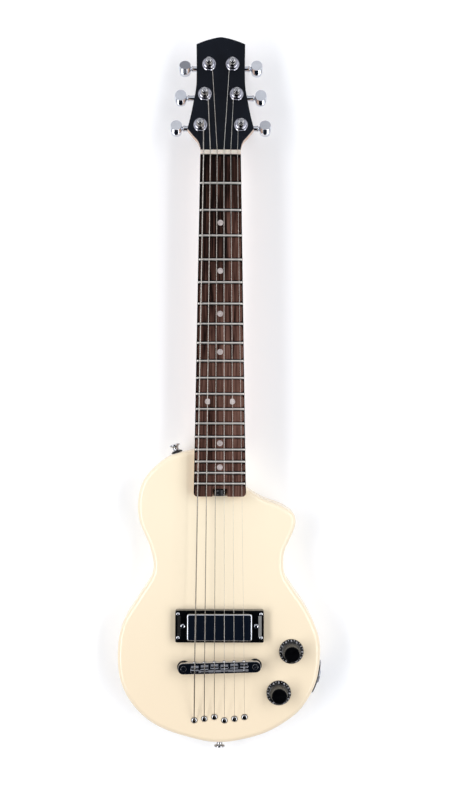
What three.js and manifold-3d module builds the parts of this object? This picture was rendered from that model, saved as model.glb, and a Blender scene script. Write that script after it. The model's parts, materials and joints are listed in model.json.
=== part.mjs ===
// A short-scale travel guitar lying on its back: face +Z, neck along +Y, bass side towards -X.
// The origin lies on the back of the body, on the centreline, under the end of the scale.
// Lengths are millimetres and angles are degrees.
import * as THREE from 'three';
import { mergeVertices } from 'three/addons/utils/BufferGeometryUtils.js';
import Module from 'manifold-3d';

const wasm = await Module();
wasm.setup();

// Clearances and cuts
const GAP = 0.3;
const GLUE_LINE = 0.1;
const OVERRUN = 2;

// Scale and frets
const SCALE_LENGTH = 525;
const FRET_COUNT = 18;
const FRET_WIDTH = 2.3;
const FRET_HEIGHT = 1.1;
const FRET_INSET = 0.5;
const FRET_FACETS = 4;

// Body
const BODY_DEPTH = 44;
const BODY_LENGTH = 305.3;
const BODY_HALF_WIDTH = 106;
const TAIL_LENGTH = 85.8;
const BODY_EDGE_ROUND = 6;
const BODY_EDGE_FACETS = 2;
const OUTLINE_STEPS = 74;
const EDGE_SEARCH_STEPS = 592;
const CORNER_STEPS = 3;
const SMALL_CORNER_STEPS = 2;
const WIDE_CORNER_STEPS = 4;
const HEEL_HALF_WIDTH = 25.2;
const HEEL_FILLET = 5;
const TOP_WALL = 8;

// The body's edge, from the bass side of the neck round the tail to the treble side of the neck:
// x as a share of the half width, y as a share of the length from the tail
const BODY_OUTLINE_SHARES = [
  [-0.269, 1.0], [-0.42, 0.9885], [-0.539, 0.971], [-0.698, 0.923], [-0.777, 0.878], [-0.809, 0.812],
  [-0.79, 0.754], [-0.692, 0.672], [-0.652, 0.61], [-0.672, 0.569], [-0.819, 0.487], [-0.958, 0.405],
  [-1.005, 0.301], [-0.967, 0.2], [-0.829, 0.117], [-0.612, 0.056], [-0.198, 0.0085], [0, 0],
  [0.193, 0.0075], [0.453, 0.033], [0.67, 0.075], [0.808, 0.117], [0.945, 0.2], [0.993, 0.301],
  [0.976, 0.364], [0.876, 0.446], [0.719, 0.528], [0.647, 0.569], [0.627, 0.61], [0.636, 0.651],
  [0.685, 0.692], [0.736, 0.733], [0.748, 0.757], [0.731, 0.781], [0.665, 0.8], [0.584, 0.814],
  [0.422, 0.835], [0.271, 0.866],
];

// Neck and fretboard
const NUT_WIDTH = 42;
const BOARD_END_WIDTH = 54;
const BOARD_PAST_LAST_FRET = 13.4;
const BOARD_THICKNESS = 6;
const BOARD_CORNER = 3.7;
const NECK_RISE = 8;
const NECK_DEPTH_AT_NUT = 15.5;
const NECK_DEPTH_AT_BODY = 17.5;
const NECK_SECTION_STEPS = 12;
const POCKET_DEPTH = 18;
const TENON_LENGTH = 47;
const HEEL_RUN = 26;

// The heel behind the tenon: how far along its run, how far thinned down to the shaft, and how round,
// from a box at 0 to an ellipse at 1
const HEEL_SHARES = [
  { along: -0.5, thinned: 0, round: 0.12 },
  { along: 0, thinned: 0, round: 0.12 },
  { along: 0.25, thinned: 0.3, round: 0.35 },
  { along: 0.5, thinned: 0.7, round: 0.65 },
  { along: 1, thinned: 1, round: 0.85 },
];
const SHAFT_ROUND_SHARE = 0.85;
const NUT_END_ROUND_SHARE = 0.7;
const HEAD_ROUND_SHARE = 0.4;

// Nut
const NUT_THICKNESS = 4.5;
const NUT_HEIGHT = 8.6;
const NUT_STRING_SPREAD = 35;
const NUT_STRING_HEIGHT = 7.6;

// Headstock
const HEAD_LENGTH = 121.2;
const HEAD_HALF_WIDTH = 34.5;
const HEAD_THICKNESS = 14;
const VENEER_THICKNESS = 1.5;
const HEAD_TILT = 4;
const HEAD_TONGUE_WIDTH = 22;
const HEAD_TONGUE_LENGTH = 9;
const HEAD_SIDE_STEPS = 8;
const HEAD_CROWN_STEPS = 5;

// The headstock's treble edge: x as a share of the half width, y as a share of the length from the nut
const HEAD_THROAT_SHARES = [
  [0.6, 0], [0.606, 0.02], [0.638, 0.062], [0.704, 0.099], [0.82, 0.136], [1, 0.198],
];
const HEAD_SIDE_SHARES = [
  [1, 0.198], [0.904, 0.309], [0.812, 0.441], [0.742, 0.56], [0.728, 0.7], [0.736, 0.9365],
];
const HEAD_CROWN_SHARES = [[0.37, 0.985], [0, 1]];

// Strings, from the bass side
const STRING_DIAMETERS = [1.17, 0.91, 0.66, 0.43, 0.33, 0.25];
const STRING_SIDES = 5;
const BALL_RADIUS = 1.9;
const BALL_SIDES = 8;
const WINDING_LOOPS = 2.25;
const WINDING_STEPS = 16;
const WINDING_AIR = 0.46;
const WINDING_BEND = 0.95;
const WINDING_LEAD_SHARE = 0.93;
const BEND_STEPS = 4;

// Tuners: where each post stands on the headstock, and the angle its button is left at
const POST_PLACES = [
  { name: 'low_e', side: -1, across: 21.1, along: 27.9, rest: -18 },
  { name: 'a', side: -1, across: 16.5, along: 60.5, rest: -8 },
  { name: 'd', side: -1, across: 12.2, along: 92.2, rest: -24 },
  { name: 'g', side: 1, across: 12.2, along: 92.2, rest: -14 },
  { name: 'b', side: 1, across: 16.5, along: 60.5, rest: -6 },
  { name: 'high_e', side: 1, across: 21.1, along: 27.9, rest: -22 },
];
const POST_RADIUS = 3;
const POST_WAIST_RADIUS = 2.5;
const POST_HEIGHT = 15;
const POST_HOLE_HEIGHT = 9.6;
const POST_WAIST_REACH = 1.4;
const POST_CROWN = 0.7;
const POST_SIDES = 10;
const WHEEL_TEETH = 10;
const TOOTH_DEPTH = 0.8;
const WHEEL_THICKNESS = 2.6;
const WASHER_RADIUS = 7.1;
const WASHER_THICKNESS = 1;
const HEX_ACROSS_FLATS = 10.6;
const HEX_HEIGHT = 3;
const BUSHING_RADIUS = 4.4;
const BUSHING_SIDES = 12;
const HOUSING_LENGTH = 17;
const HOUSING_WIDTH = 15;
const HOUSING_DEPTH = 11;
const HOUSING_WALL = 1.5;
const HOUSING_SHIFT = 1;
const WORM_RADIUS = 2.3;
const WORM_LENGTH = 9;
const WORM_SHIFT = 2;
const SHAFT_RADIUS = 1.7;
const SHAFT_SIDES = 10;
const BOSS_RADIUS = 3.4;
const BOSS_REACH = 18.6;
const BUTTON_REACH = 25.7;
const BUTTON_LENGTH = 12.8;
const BUTTON_WIDTH = 17;
const BUTTON_THICKNESS = 7.6;
const BUTTON_EDGE = 2;
const BUTTON_SIDES = 8;

// Pickup and its mounting ring
const PICKUP_PLACE = 38;
const RING_LENGTH = 92.2;
const RING_WIDTH = 33.8;
const RING_SHIFT = -0.6;
const RING_HEIGHT = 9;
const RING_SLOPE = 0.8;
const RING_SCREW_SPREAD = 86;
const RING_SCREW_PITCH = 24.6;
const RING_SCREW_RADIUS = 1.2;
const RING_SCREW_LENGTH = 9;
const RING_HEAD_RADIUS = 2.1;
const RING_HEAD_HEIGHT = 0.9;
const COVER_LENGTH = 67.3;
const COVER_WIDTH = 27.7;
const COVER_SHIFT = -0.9;
const COVER_TOP = 14;
const COVER_DEPTH = 18;
const COVER_ROUND = 1.5;
const EAR_SPREAD = 76;
const EAR_LENGTH = 81.4;
const EAR_WIDTH = 11;
const EAR_THICKNESS = 2;
const LIFT_SCREW_RADIUS = 1.3;
const LIFT_HEAD_RADIUS = 2.3;
const LIFT_HEAD_HEIGHT = 1.2;
const LIFT_SCREW_LENGTH = 22;
const PICKUP_CAVITY_DEPTH = 24;
const PICKUP_RUN_GAP = 0.4;

// Bridge
const BRIDGE_PLACE = 4.1;
const BRIDGE_LENGTH = 85.5;
const BRIDGE_WIDTH = 11.6;
const BRIDGE_BASE = 8.3;
const BRIDGE_HEIGHT = 7.5;
const BRIDGE_SLANT = 1.7;
const BRIDGE_CORNER = 4.6;
const BRIDGE_FLOOR = 2;
const POST_SPREAD = 74;
const SADDLE_CREST = 18.3;
const SADDLE_STRING_SPREAD = 51;
const SADDLE_WIDTH = 8;
const SADDLE_LENGTH = 3.6;
const SADDLE_CREST_LENGTH = 0.6;
const SADDLE_TRAVEL = 2.1;
const SADDLE_SCREW_RADIUS = 1;
const SADDLE_HEAD_RADIUS = 1.9;
const SADDLE_HEAD_LENGTH = 1.3;
const SADDLE_OFFSETS = [-1.2, -0.6, 0, -0.6, 0, 0.6];
const STUD_RADIUS = 3;
const STUD_DEPTH = 18;
const STUD_TRAVEL = 3;
const STUD_TOP = 0.5;
const STUD_SLOT_WIDTH = 1.1;
const STUD_SLOT_DEPTH = 1.2;
const THUMBWHEEL_RADIUS = 7;
const THUMBWHEEL_THICKNESS = 2.5;
const THUMBWHEEL_BASE = 5;

// String block and its ferrules, counted from the bass side
const FERRULE_SPREAD = 52.4;
const FERRULE_PLACES = [61.9, 60.3, 58.4, 61.9, 60.3, 58.4];
const FERRULE_RADIUS = 3.1;
const FERRULE_RISE = 1.7;
const FERRULE_BORE_RADIUS = 1.5;
const FERRULE_SHOULDER_SHARES = { radius: 0.88, height: 0.6 };
const FERRULE_CROWN_SHARE = 0.6;
const BALL_SEAT_RADIUS = 2.4;
const BALL_SEAT_DEPTH = 4.5;
const BLOCK_LENGTH = 62;
const BLOCK_WIDTH = 12;
const BLOCK_THICKNESS = 6.5;
const FERRULE_SIDES = 8;

// Controls: how far in from the body's widest point, and how far along from the end of the scale
const VOLUME_INSET = 31.2;
const VOLUME_ALONG = 10.2;
const TONE_INSET = 44.2;
const TONE_ALONG = -33;
const KNOB_RADIUS = 12.8;
const KNOB_SKIRT_HEIGHT = 3;
const KNOB_WAIST_RADIUS = 9.6;
const KNOB_TOP_RADIUS = 7.7;
const KNOB_HEIGHT = 18;
const KNOB_EDGE = 0.6;
const KNOB_RECESS_RADIUS = 7.5;
const KNOB_RECESS_DEPTH = 4;
const KNOB_SIDES = 22;
const POT_RADIUS = 8.2;
const POT_HEIGHT = 9;
const POT_BUSHING_RADIUS = 4.2;
const POT_BUSHING_RISE = 3;
const POT_SHAFT_RADIUS = 3;
const POT_SHAFT_DEPTH = 15;
const POT_SIDES = 14;
const CAVITY_RADIUS = 15.5;
const CAVITY_STEPS = 6;
const COVER_LIP = 4.5;
const BACK_COVER_THICKNESS = 2;
const BACK_RECESS = 2.6;
const COVER_SCREW_RADIUS = 1.2;
const COVER_SCREW_LENGTH = 8;

// Output jack, whose plate follows the body's edge
const JACK_INSET = 3;
const JACK_ALONG = -19.7;
const JACK_PLATE_LENGTH = 35;
const JACK_PLATE_HEIGHT = 30;
const JACK_PLATE_THICKNESS = 1.5;
const JACK_PLATE_STEPS = 8;
const JACK_BARREL_RADIUS = 5.7;
const JACK_BORE_RADIUS = 3.4;
const JACK_LENGTH = 31;
const JACK_BORE_DEPTH = 28;
const JACK_NUT_RADIUS = 8;
const JACK_NUT_THICKNESS = 2.4;
const JACK_SIDES = 20;

// Truss rod wheel
const TRUSS_WHEEL_RADIUS = 6.3;
const TRUSS_WHEEL_LENGTH = 6.6;
const TRUSS_NOTCH_WIDTH = 15.8;
const TRUSS_NOTCH_LENGTH = 8.2;
const TRUSS_STUB_RADIUS = 2.5;
const TRUSS_STUB_LENGTH = 14;
const TRUSS_HOLES = 6;
const TRUSS_HOLE_PHASE_SHARE = 0.25;
const TRUSS_HOLE_RADIUS = 1.4;
const TRUSS_HOLE_DEPTH = 2.6;

// Strap buttons: the upper one stands square to the bass shoulder
const STRAP_SHOULDER_SHARE = 0.022;
const STRAP_WASHER_RADIUS = 5.9;
const STRAP_WASHER_THICKNESS = 1.8;
const STRAP_BASE_RADIUS = 4.8;
const STRAP_NECK_RADIUS = 3.2;
const STRAP_FLANGE_RADIUS = 5.6;
const STRAP_FLANGE_THICKNESS = 2;
const STRAP_HEIGHT = 9.7;
const STRAP_SCREW_RADIUS = 1.8;
const STRAP_SCREW_LENGTH = 16;
const STRAP_SLOT_WIDTH = 1.2;
const STRAP_SLOT_DEPTH = 1;
const STRAP_SIDES = 14;

// Neck plate on the back, with its four bolts
const NECK_PLATE_WIDTH = 37;
const NECK_PLATE_LENGTH = 36;
const NECK_PLATE_THICKNESS = 1.6;
const NECK_PLATE_RECESS = 3.8;
const NECK_PLATE_CORNER = 4;
const NECK_BOLT_SPREAD = 26;
const NECK_BOLT_PITCH = 25;
const NECK_BOLT_RADIUS = 2.2;
const NECK_BOLT_HEAD_RADIUS = 4;
const NECK_BOLT_HEAD_HEIGHT = 1.6;
const NECK_BOLT_REACH = 14;
const BOLT_SIDES = 8;

// Heights and places that follow
const BOARD_END = fretPlace(FRET_COUNT) - BOARD_PAST_LAST_FRET;
const NUT_BACK = SCALE_LENGTH + NUT_THICKNESS;
const NECK_TOP = BODY_DEPTH + NECK_RISE;
const BOARD_TOP = NECK_TOP + BOARD_THICKNESS;
const POCKET_FLOOR = BODY_DEPTH - POCKET_DEPTH;
const SHOULDER = BODY_LENGTH - TAIL_LENGTH;
const TENON_END = Math.max(BOARD_END + TENON_LENGTH, SHOULDER - GAP);
const NECK_PLATE_PLACE = BOARD_END + TENON_LENGTH / 2;
const STRING_COUNT = STRING_DIAMETERS.length;
const NUT_SEAT = NECK_TOP + NUT_STRING_HEIGHT;
const SADDLE_TOP = BODY_DEPTH + SADDLE_CREST;
const HEAD_BACK = -HEAD_THICKNESS;
const WHEEL_RADIUS = HOUSING_WIDTH / 2 - HOUSING_WALL - HOUSING_SHIFT - GAP;
const WHEEL_TOP = HEAD_BACK - HOUSING_WALL - 2 * GAP;
const WORM_HEIGHT = WHEEL_TOP - WHEEL_THICKNESS - WORM_RADIUS - GAP;
const CONTROL_CEILING = BODY_DEPTH - TOP_WALL;
const VOLUME_PLACE = [BODY_HALF_WIDTH - VOLUME_INSET, VOLUME_ALONG];
const TONE_PLACE = [BODY_HALF_WIDTH - TONE_INSET, TONE_ALONG];
const JACK_PLACE = [BODY_HALF_WIDTH - JACK_INSET, JACK_ALONG];
const TRUSS_AXIS = NECK_TOP - TRUSS_STUB_RADIUS - 2 * GAP;

// Materials
const cream = material(0xf6ecd8, 0.28, 0);
const maple = material(0xd8b98c, 0.5, 0);
const rosewood = material(0x5a3f35, 0.55, 0);
const blackGloss = material(0x14151b, 0.2, 0);
const bone = material(0xd9cfc0, 0.45, 0);
const chrome = material(0xc6cad2, 0.12, 1);
const steel = material(0xa8abb2, 0.3, 1);
const bronze = material(0xb3aa9c, 0.32, 1);
const blackPlastic = material(0x17181c, 0.35, 0);
const blackSteel = material(0x24252a, 0.4, 1);

const guitar = new THREE.Group();
const head = new THREE.Group();
head.position.set(0, NUT_BACK, NECK_TOP);
head.rotation.x = -THREE.MathUtils.degToRad(HEAD_TILT);
guitar.add(head);
const bridge = new THREE.Group();
bridge.position.set(0, -BRIDGE_PLACE, BODY_DEPTH);
bridge.rotation.z = THREE.MathUtils.degToRad(BRIDGE_SLANT);
guitar.add(bridge);
guitar.updateMatrixWorld(true);

const bodyEdge = bodyCurve();
addBody();
addNeck();
addFretboard();
addVeneer();
addNut();
addTuners();
addStrings();
addPickup();
addBridge();
addStringBlock();
addControls();
addJack();
addTrussWheel();
addStrapButtons();
addNeckPlate();

export default guitar;

// Materials and meshes

function material(color, roughness, metalness) {
  return new THREE.MeshStandardMaterial({ color, roughness, metalness });
}

function addMesh(name, geometry, look, parent = guitar) {
  const mesh = new THREE.Mesh(geometry, look);
  mesh.name = name;
  parent.add(mesh);
  return mesh;
}

// Solids

function welded(geometry) {
  const bare = geometry.clone();
  bare.deleteAttribute('normal');
  bare.deleteAttribute('uv');
  const merged = mergeVertices(bare);
  const index = merged.getIndex().array;
  const kept = [];
  for (let i = 0; i < index.length; i += 3) {
    const [a, b, c] = [index[i], index[i + 1], index[i + 2]];
    if (a !== b && b !== c && c !== a) kept.push(a, b, c);
  }
  merged.setIndex(kept);
  return facingOut(merged);
}

function facingOut(geometry) {
  const place = geometry.getAttribute('position');
  const index = geometry.getIndex().array;
  const [a, b, c] = [new THREE.Vector3(), new THREE.Vector3(), new THREE.Vector3()];
  let volume = 0;
  for (let i = 0; i < index.length; i += 3) {
    a.fromBufferAttribute(place, index[i]);
    b.fromBufferAttribute(place, index[i + 1]);
    c.fromBufferAttribute(place, index[i + 2]);
    volume += a.dot(b.cross(c));
  }
  if (volume < 0) geometry.setIndex([...index].reverse());
  return geometry;
}

function solidOf(geometry) {
  const closed = welded(geometry);
  const vertProperties = new Float32Array(closed.getAttribute('position').array);
  const triVerts = new Uint32Array(closed.getIndex().array);
  return new wasm.Manifold(new wasm.Mesh({ numProp: 3, vertProperties, triVerts }));
}

function geometryOf(solid) {
  const mesh = solid.getMesh();
  const geometry = new THREE.BufferGeometry();
  geometry.setAttribute('position', new THREE.BufferAttribute(new Float32Array(mesh.vertProperties), 3));
  geometry.setIndex(new THREE.BufferAttribute(new Uint32Array(mesh.triVerts), 1));
  geometry.computeVertexNormals();
  return geometry;
}

function join(...pieces) {
  return geometryOf(pieces.map(solidOf).reduce((whole, piece) => whole.add(piece)));
}

function cut(base, ...tools) {
  return geometryOf(tools.map(solidOf).reduce((whole, tool) => whole.subtract(tool), solidOf(base)));
}

function block(x, y, z) {
  const shape = new THREE.BoxGeometry(x[1] - x[0], y[1] - y[0], z[1] - z[0]);
  return shape.translate((x[0] + x[1]) / 2, (y[0] + y[1]) / 2, (z[0] + z[1]) / 2);
}

function around(centre, size) {
  return [centre - size / 2, centre + size / 2];
}

function rod(radius, bottom, top, sides) {
  const shape = new THREE.CylinderGeometry(radius, radius, top - bottom, sides);
  return shape.rotateX(Math.PI / 2).translate(0, 0, (bottom + top) / 2);
}

function turned(profile, sides) {
  const points = profile.map(([radius, height]) => new THREE.Vector2(radius, height));
  return new THREE.LatheGeometry(points, sides).rotateX(Math.PI / 2);
}

function plate(shape, bottom, top, steps = CORNER_STEPS) {
  const options = { depth: top - bottom, bevelEnabled: false, curveSegments: steps };
  return new THREE.ExtrudeGeometry(shape, options).translate(0, 0, bottom);
}

function softPlate(shape, bottom, top, round, facets, steps = CORNER_STEPS) {
  const options = {
    depth: top - bottom - 2 * round,
    bevelThickness: round,
    bevelSize: round,
    bevelOffset: -round,
    bevelSegments: facets,
    curveSegments: steps,
  };
  return new THREE.ExtrudeGeometry(shape, options).translate(0, 0, bottom + round);
}

function roundedRectangle(length, width, corner) {
  const [x, y] = [length / 2 - corner, width / 2 - corner];
  const shape = new THREE.Shape();
  shape.absarc(x, y, corner, 0, Math.PI / 2);
  shape.absarc(-x, y, corner, Math.PI / 2, Math.PI);
  shape.absarc(-x, -y, corner, Math.PI, 1.5 * Math.PI);
  shape.absarc(x, -y, corner, 1.5 * Math.PI, 2 * Math.PI);
  return shape;
}

function polygon(points) {
  return new THREE.Shape(points.map(([x, y]) => new THREE.Vector2(x, y)));
}

function loft(rings) {
  const count = rings[0].length;
  const places = rings.flat().flatMap((point) => [point.x, point.y, point.z]);
  const index = [];
  for (let ring = 0; ring + 1 < rings.length; ring++) {
    for (let i = 0; i < count; i++) {
      const [a, b] = [ring * count + i, ring * count + (i + 1) % count];
      index.push(a, b, b + count, a, b + count, a + count);
    }
  }
  for (const [ring, turn] of [[0, -1], [rings.length - 1, 1]]) {
    const centre = places.length / 3;
    const middle = rings[ring].reduce((sum, point) => sum.add(point), new THREE.Vector3());
    middle.divideScalar(count);
    places.push(middle.x, middle.y, middle.z);
    for (let i = 0; i < count; i++) {
      const [a, b] = [ring * count + i, ring * count + (i + 1) % count];
      index.push(centre, turn > 0 ? a : b, turn > 0 ? b : a);
    }
  }
  const geometry = new THREE.BufferGeometry();
  geometry.setAttribute('position', new THREE.Float32BufferAttribute(places, 3));
  geometry.setIndex(index);
  return facingOut(geometry);
}

// A round tube along points, with each ring square to the path
function tubeAlong(points, radius, sides) {
  const rings = [];
  let across = null;
  for (let i = 0; i < points.length; i++) {
    const before = points[Math.max(i - 1, 0)];
    const after = points[Math.min(i + 1, points.length - 1)];
    const along = after.clone().sub(before).normalize();
    across = across ?? new THREE.Vector3(1, 0, 0);
    across = across.clone().addScaledVector(along, -across.dot(along)).normalize();
    const up = along.clone().cross(across);
    const ring = [];
    for (let k = 0; k < sides; k++) {
      const angle = 2 * Math.PI * k / sides;
      const point = points[i].clone().addScaledVector(across, radius * Math.cos(angle));
      ring.push(point.addScaledVector(up, radius * Math.sin(angle)));
    }
    rings.push(ring);
  }
  return loft(rings);
}

// Places

function fretPlace(number) {
  return SCALE_LENGTH * 2 ** (-number / 12);
}

function halfWidthAt(y) {
  const share = (y - BOARD_END) / (SCALE_LENGTH - BOARD_END);
  return THREE.MathUtils.lerp(BOARD_END_WIDTH, NUT_WIDTH, share) / 2;
}

function stringAcross(spread, number) {
  return spread * (number / (STRING_COUNT - 1) - 0.5);
}

function mixed(a, b, share) {
  return new THREE.Vector3().lerpVectors(a, b, share);
}

// Body

function bodyCurve() {
  const points = BODY_OUTLINE_SHARES.map(
    ([x, y]) => new THREE.Vector3(x * BODY_HALF_WIDTH, y * BODY_LENGTH - TAIL_LENGTH, 0),
  );
  return new THREE.CatmullRomCurve3(points);
}

function bodyOutline() {
  const edge = bodyEdge.getPoints(OUTLINE_STEPS).map((point) => [point.x, point.y]);
  const shoulder = edge[0][1];
  const corner = edge[edge.length - 1][1];
  edge.push([HEEL_HALF_WIDTH, corner + HEEL_FILLET], [HEEL_HALF_WIDTH, shoulder]);
  return polygon(edge);
}

function addBody() {
  const shell = softPlate(bodyOutline(), 0, BODY_DEPTH, BODY_EDGE_ROUND, BODY_EDGE_FACETS);
  const tools = [
    plate(boardOutline(GAP, TENON_END + OVERRUN), POCKET_FLOOR, BODY_DEPTH + OVERRUN),
    ...pickupCavity(),
    ...bridgeHoles(),
    ...blockHoles(),
    ...controlCavity(),
    ...jackHole(),
    ...strapHoles(),
    ...neckPlateHoles(POCKET_FLOOR + OVERRUN),
  ];
  addMesh('body', cut(shell, ...tools), cream);
}

// Neck, fretboard, nut and headstock

function boardOutline(grown, farEnd) {
  const near = BOARD_END - grown;
  const corner = BOARD_CORNER + grown;
  const half = (y) => halfWidthAt(y) + grown;
  const shape = new THREE.Shape();
  shape.moveTo(-half(farEnd), farEnd);
  shape.lineTo(-half(near), near + corner);
  shape.absarc(-half(near) + corner, near + corner, corner, Math.PI, 1.5 * Math.PI);
  shape.absarc(half(near) - corner, near + corner, corner, 1.5 * Math.PI, 2 * Math.PI);
  shape.lineTo(half(farEnd), farEnd);
  return shape;
}

function trussNotch(bottom, top) {
  const x = around(0, TRUSS_NOTCH_WIDTH);
  return block(x, [BOARD_END - OVERRUN, BOARD_END + TRUSS_NOTCH_LENGTH], [bottom, top]);
}

function neckSection(y, depth, roundness) {
  const half = halfWidthAt(y);
  const ring = [];
  for (let i = 0; i <= NECK_SECTION_STEPS; i++) {
    const angle = Math.PI * i / NECK_SECTION_STEPS;
    const across = Math.sign(Math.cos(angle)) * Math.abs(Math.cos(angle)) ** roundness;
    const down = Math.abs(Math.sin(angle)) ** roundness;
    ring.push(new THREE.Vector3(half * across, y, NECK_TOP - depth * down));
  }
  return ring;
}

function neckShaft() {
  const tenonDepth = NECK_TOP - POCKET_FLOOR - GAP;
  const heel = HEEL_SHARES.map(({ along, thinned, round }) => {
    const depth = THREE.MathUtils.lerp(tenonDepth, NECK_DEPTH_AT_BODY, thinned);
    return neckSection(TENON_END + HEEL_RUN * along, depth, round);
  });
  return loft([
    ...heel,
    neckSection(SCALE_LENGTH - HEEL_RUN, NECK_DEPTH_AT_NUT, SHAFT_ROUND_SHARE),
    neckSection(SCALE_LENGTH - NUT_THICKNESS, NECK_DEPTH_AT_NUT, NUT_END_ROUND_SHARE),
    neckSection(NUT_BACK, HEAD_THICKNESS, HEAD_ROUND_SHARE),
  ]);
}

function headOutline() {
  const place = ([x, y]) => new THREE.Vector3(x * HEAD_HALF_WIDTH, y * HEAD_LENGTH, 0);
  const throat = new THREE.CatmullRomCurve3(HEAD_THROAT_SHARES.map(place)).getPoints(HEAD_SIDE_STEPS);
  const side = new THREE.CatmullRomCurve3(HEAD_SIDE_SHARES.map(place)).getPoints(HEAD_SIDE_STEPS);
  const corner = side[side.length - 1];
  const crownCurve = new THREE.QuadraticBezierCurve3(corner, ...HEAD_CROWN_SHARES.map(place));
  const crown = crownCurve.getPoints(HEAD_CROWN_STEPS);
  const treble = [...throat, ...side.slice(1), ...crown.slice(1)];
  const bass = treble.slice(0, -1).reverse().map((point) => new THREE.Vector3(-point.x, point.y, 0));
  return polygon([...treble, ...bass].map((point) => [point.x, point.y]));
}

function postHoles(bottom, top) {
  return POST_PLACES.map((post) => {
    const hole = rod(BUSHING_RADIUS + GAP, bottom, top, BUSHING_SIDES);
    return hole.translate(post.side * post.across, post.along, 0);
  });
}

function addNeck() {
  const tenon = plate(boardOutline(0, TENON_END), POCKET_FLOOR + GAP, NECK_TOP);
  const woodTop = -VENEER_THICKNESS - GLUE_LINE;
  const plank = plate(headOutline(), HEAD_BACK, woodTop).applyMatrix4(head.matrixWorld);
  const tongueSpan = [-HEAD_TONGUE_LENGTH, HEAD_TONGUE_LENGTH];
  const tongue = block(around(0, HEAD_TONGUE_WIDTH), tongueSpan, [HEAD_BACK, woodTop - GAP]);
  const wood = join(tenon, neckShaft(), plank, tongue.applyMatrix4(head.matrixWorld));
  const floor = TRUSS_AXIS - TRUSS_WHEEL_RADIUS - GAP;
  const bore = rod(TRUSS_STUB_RADIUS + GAP, 0, TRUSS_STUB_LENGTH + OVERRUN, SHAFT_SIDES);
  const tools = [
    trussNotch(floor, NECK_TOP + OVERRUN),
    bore.rotateX(-Math.PI / 2).translate(0, BOARD_END + TRUSS_NOTCH_LENGTH - GAP, TRUSS_AXIS),
    ...postHoles(HEAD_BACK - OVERRUN, OVERRUN).map((hole) => hole.applyMatrix4(head.matrixWorld)),
    ...neckPlateHoles(POCKET_FLOOR + NECK_BOLT_REACH + OVERRUN).slice(1),
  ];
  addMesh('neck', cut(wood, ...tools), maple);
}

function fret(number) {
  const y = fretPlace(number);
  const half = halfWidthAt(y) - FRET_INSET;
  const profile = [[-FRET_WIDTH / 2, -FRET_HEIGHT]];
  for (let i = 0; i <= FRET_FACETS; i++) {
    const angle = Math.PI * (1 - i / FRET_FACETS);
    profile.push([FRET_WIDTH / 2 * Math.cos(angle), FRET_HEIGHT * Math.sin(angle)]);
  }
  profile.push([FRET_WIDTH / 2, -FRET_HEIGHT]);
  const bar = plate(polygon(profile), -half, half);
  return bar.rotateX(Math.PI / 2).rotateZ(Math.PI / 2).translate(0, y, BOARD_TOP);
}

function addFretboard() {
  const wood = plate(boardOutline(0, SCALE_LENGTH - GLUE_LINE), NECK_TOP + GLUE_LINE, BOARD_TOP);
  const board = cut(wood, trussNotch(NECK_TOP - OVERRUN, BOARD_TOP + OVERRUN));
  const frets = Array.from({ length: FRET_COUNT }, (_, i) => fret(i + 1));
  addMesh('fretboard', join(board, ...frets), rosewood);
}

function addVeneer() {
  const sheet = plate(headOutline(), -VENEER_THICKNESS, 0);
  const nutSide = block(around(0, 2 * NUT_WIDTH), [-OVERRUN, GAP], [-HEAD_THICKNESS, OVERRUN]);
  const veneer = cut(sheet, nutSide, ...postHoles(-HEAD_THICKNESS, OVERRUN));
  addMesh('headstock_veneer', veneer, blackGloss, head);
}

function addNut() {
  const half = NUT_WIDTH / 2;
  const profile = [[-half, GLUE_LINE], [half, GLUE_LINE], [half, NUT_HEIGHT]];
  for (let i = STRING_COUNT - 1; i >= 0; i--) {
    const x = stringAcross(NUT_STRING_SPREAD, i);
    const slot = STRING_DIAMETERS[i] / 2 + GAP;
    const floor = NUT_STRING_HEIGHT - GAP;
    profile.push([x + slot, NUT_HEIGHT], [x + slot, floor]);
    profile.push([x - slot, floor], [x - slot, NUT_HEIGHT]);
  }
  profile.push([-half, NUT_HEIGHT]);
  const bar = plate(polygon(profile), 0, NUT_THICKNESS - GLUE_LINE).rotateX(Math.PI / 2);
  addMesh('nut', bar.translate(0, NUT_BACK - GLUE_LINE, NECK_TOP), bone);
}

// Tuners

function windingOf(post, diameter) {
  return {
    radius: POST_WAIST_RADIUS + GAP + diameter / 2,
    pitch: diameter + WINDING_AIR,
    turn: -post.side,
    centre: new THREE.Vector2(post.side * post.across, post.along),
  };
}

// Where a string leaves the nut, in the headstock's own frame
function nutExit(number) {
  const x = stringAcross(NUT_STRING_SPREAD, number);
  const lift = NUT_SEAT + STRING_DIAMETERS[number] / 2;
  return head.worldToLocal(new THREE.Vector3(x, NUT_BACK, lift));
}

function windingStart(number) {
  const winding = windingOf(POST_PLACES[number], STRING_DIAMETERS[number]);
  const exit = nutExit(number);
  const [x, y] = [exit.x - winding.centre.x, exit.y - winding.centre.y];
  return Math.atan2(y, x) + winding.turn * Math.acos(winding.radius / Math.hypot(x, y));
}

function pointOnWinding(number, angle, height, radius) {
  const { centre } = windingOf(POST_PLACES[number], STRING_DIAMETERS[number]);
  const [x, y] = [centre.x + radius * Math.cos(angle), centre.y + radius * Math.sin(angle)];
  return new THREE.Vector3(x, y, height);
}

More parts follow.
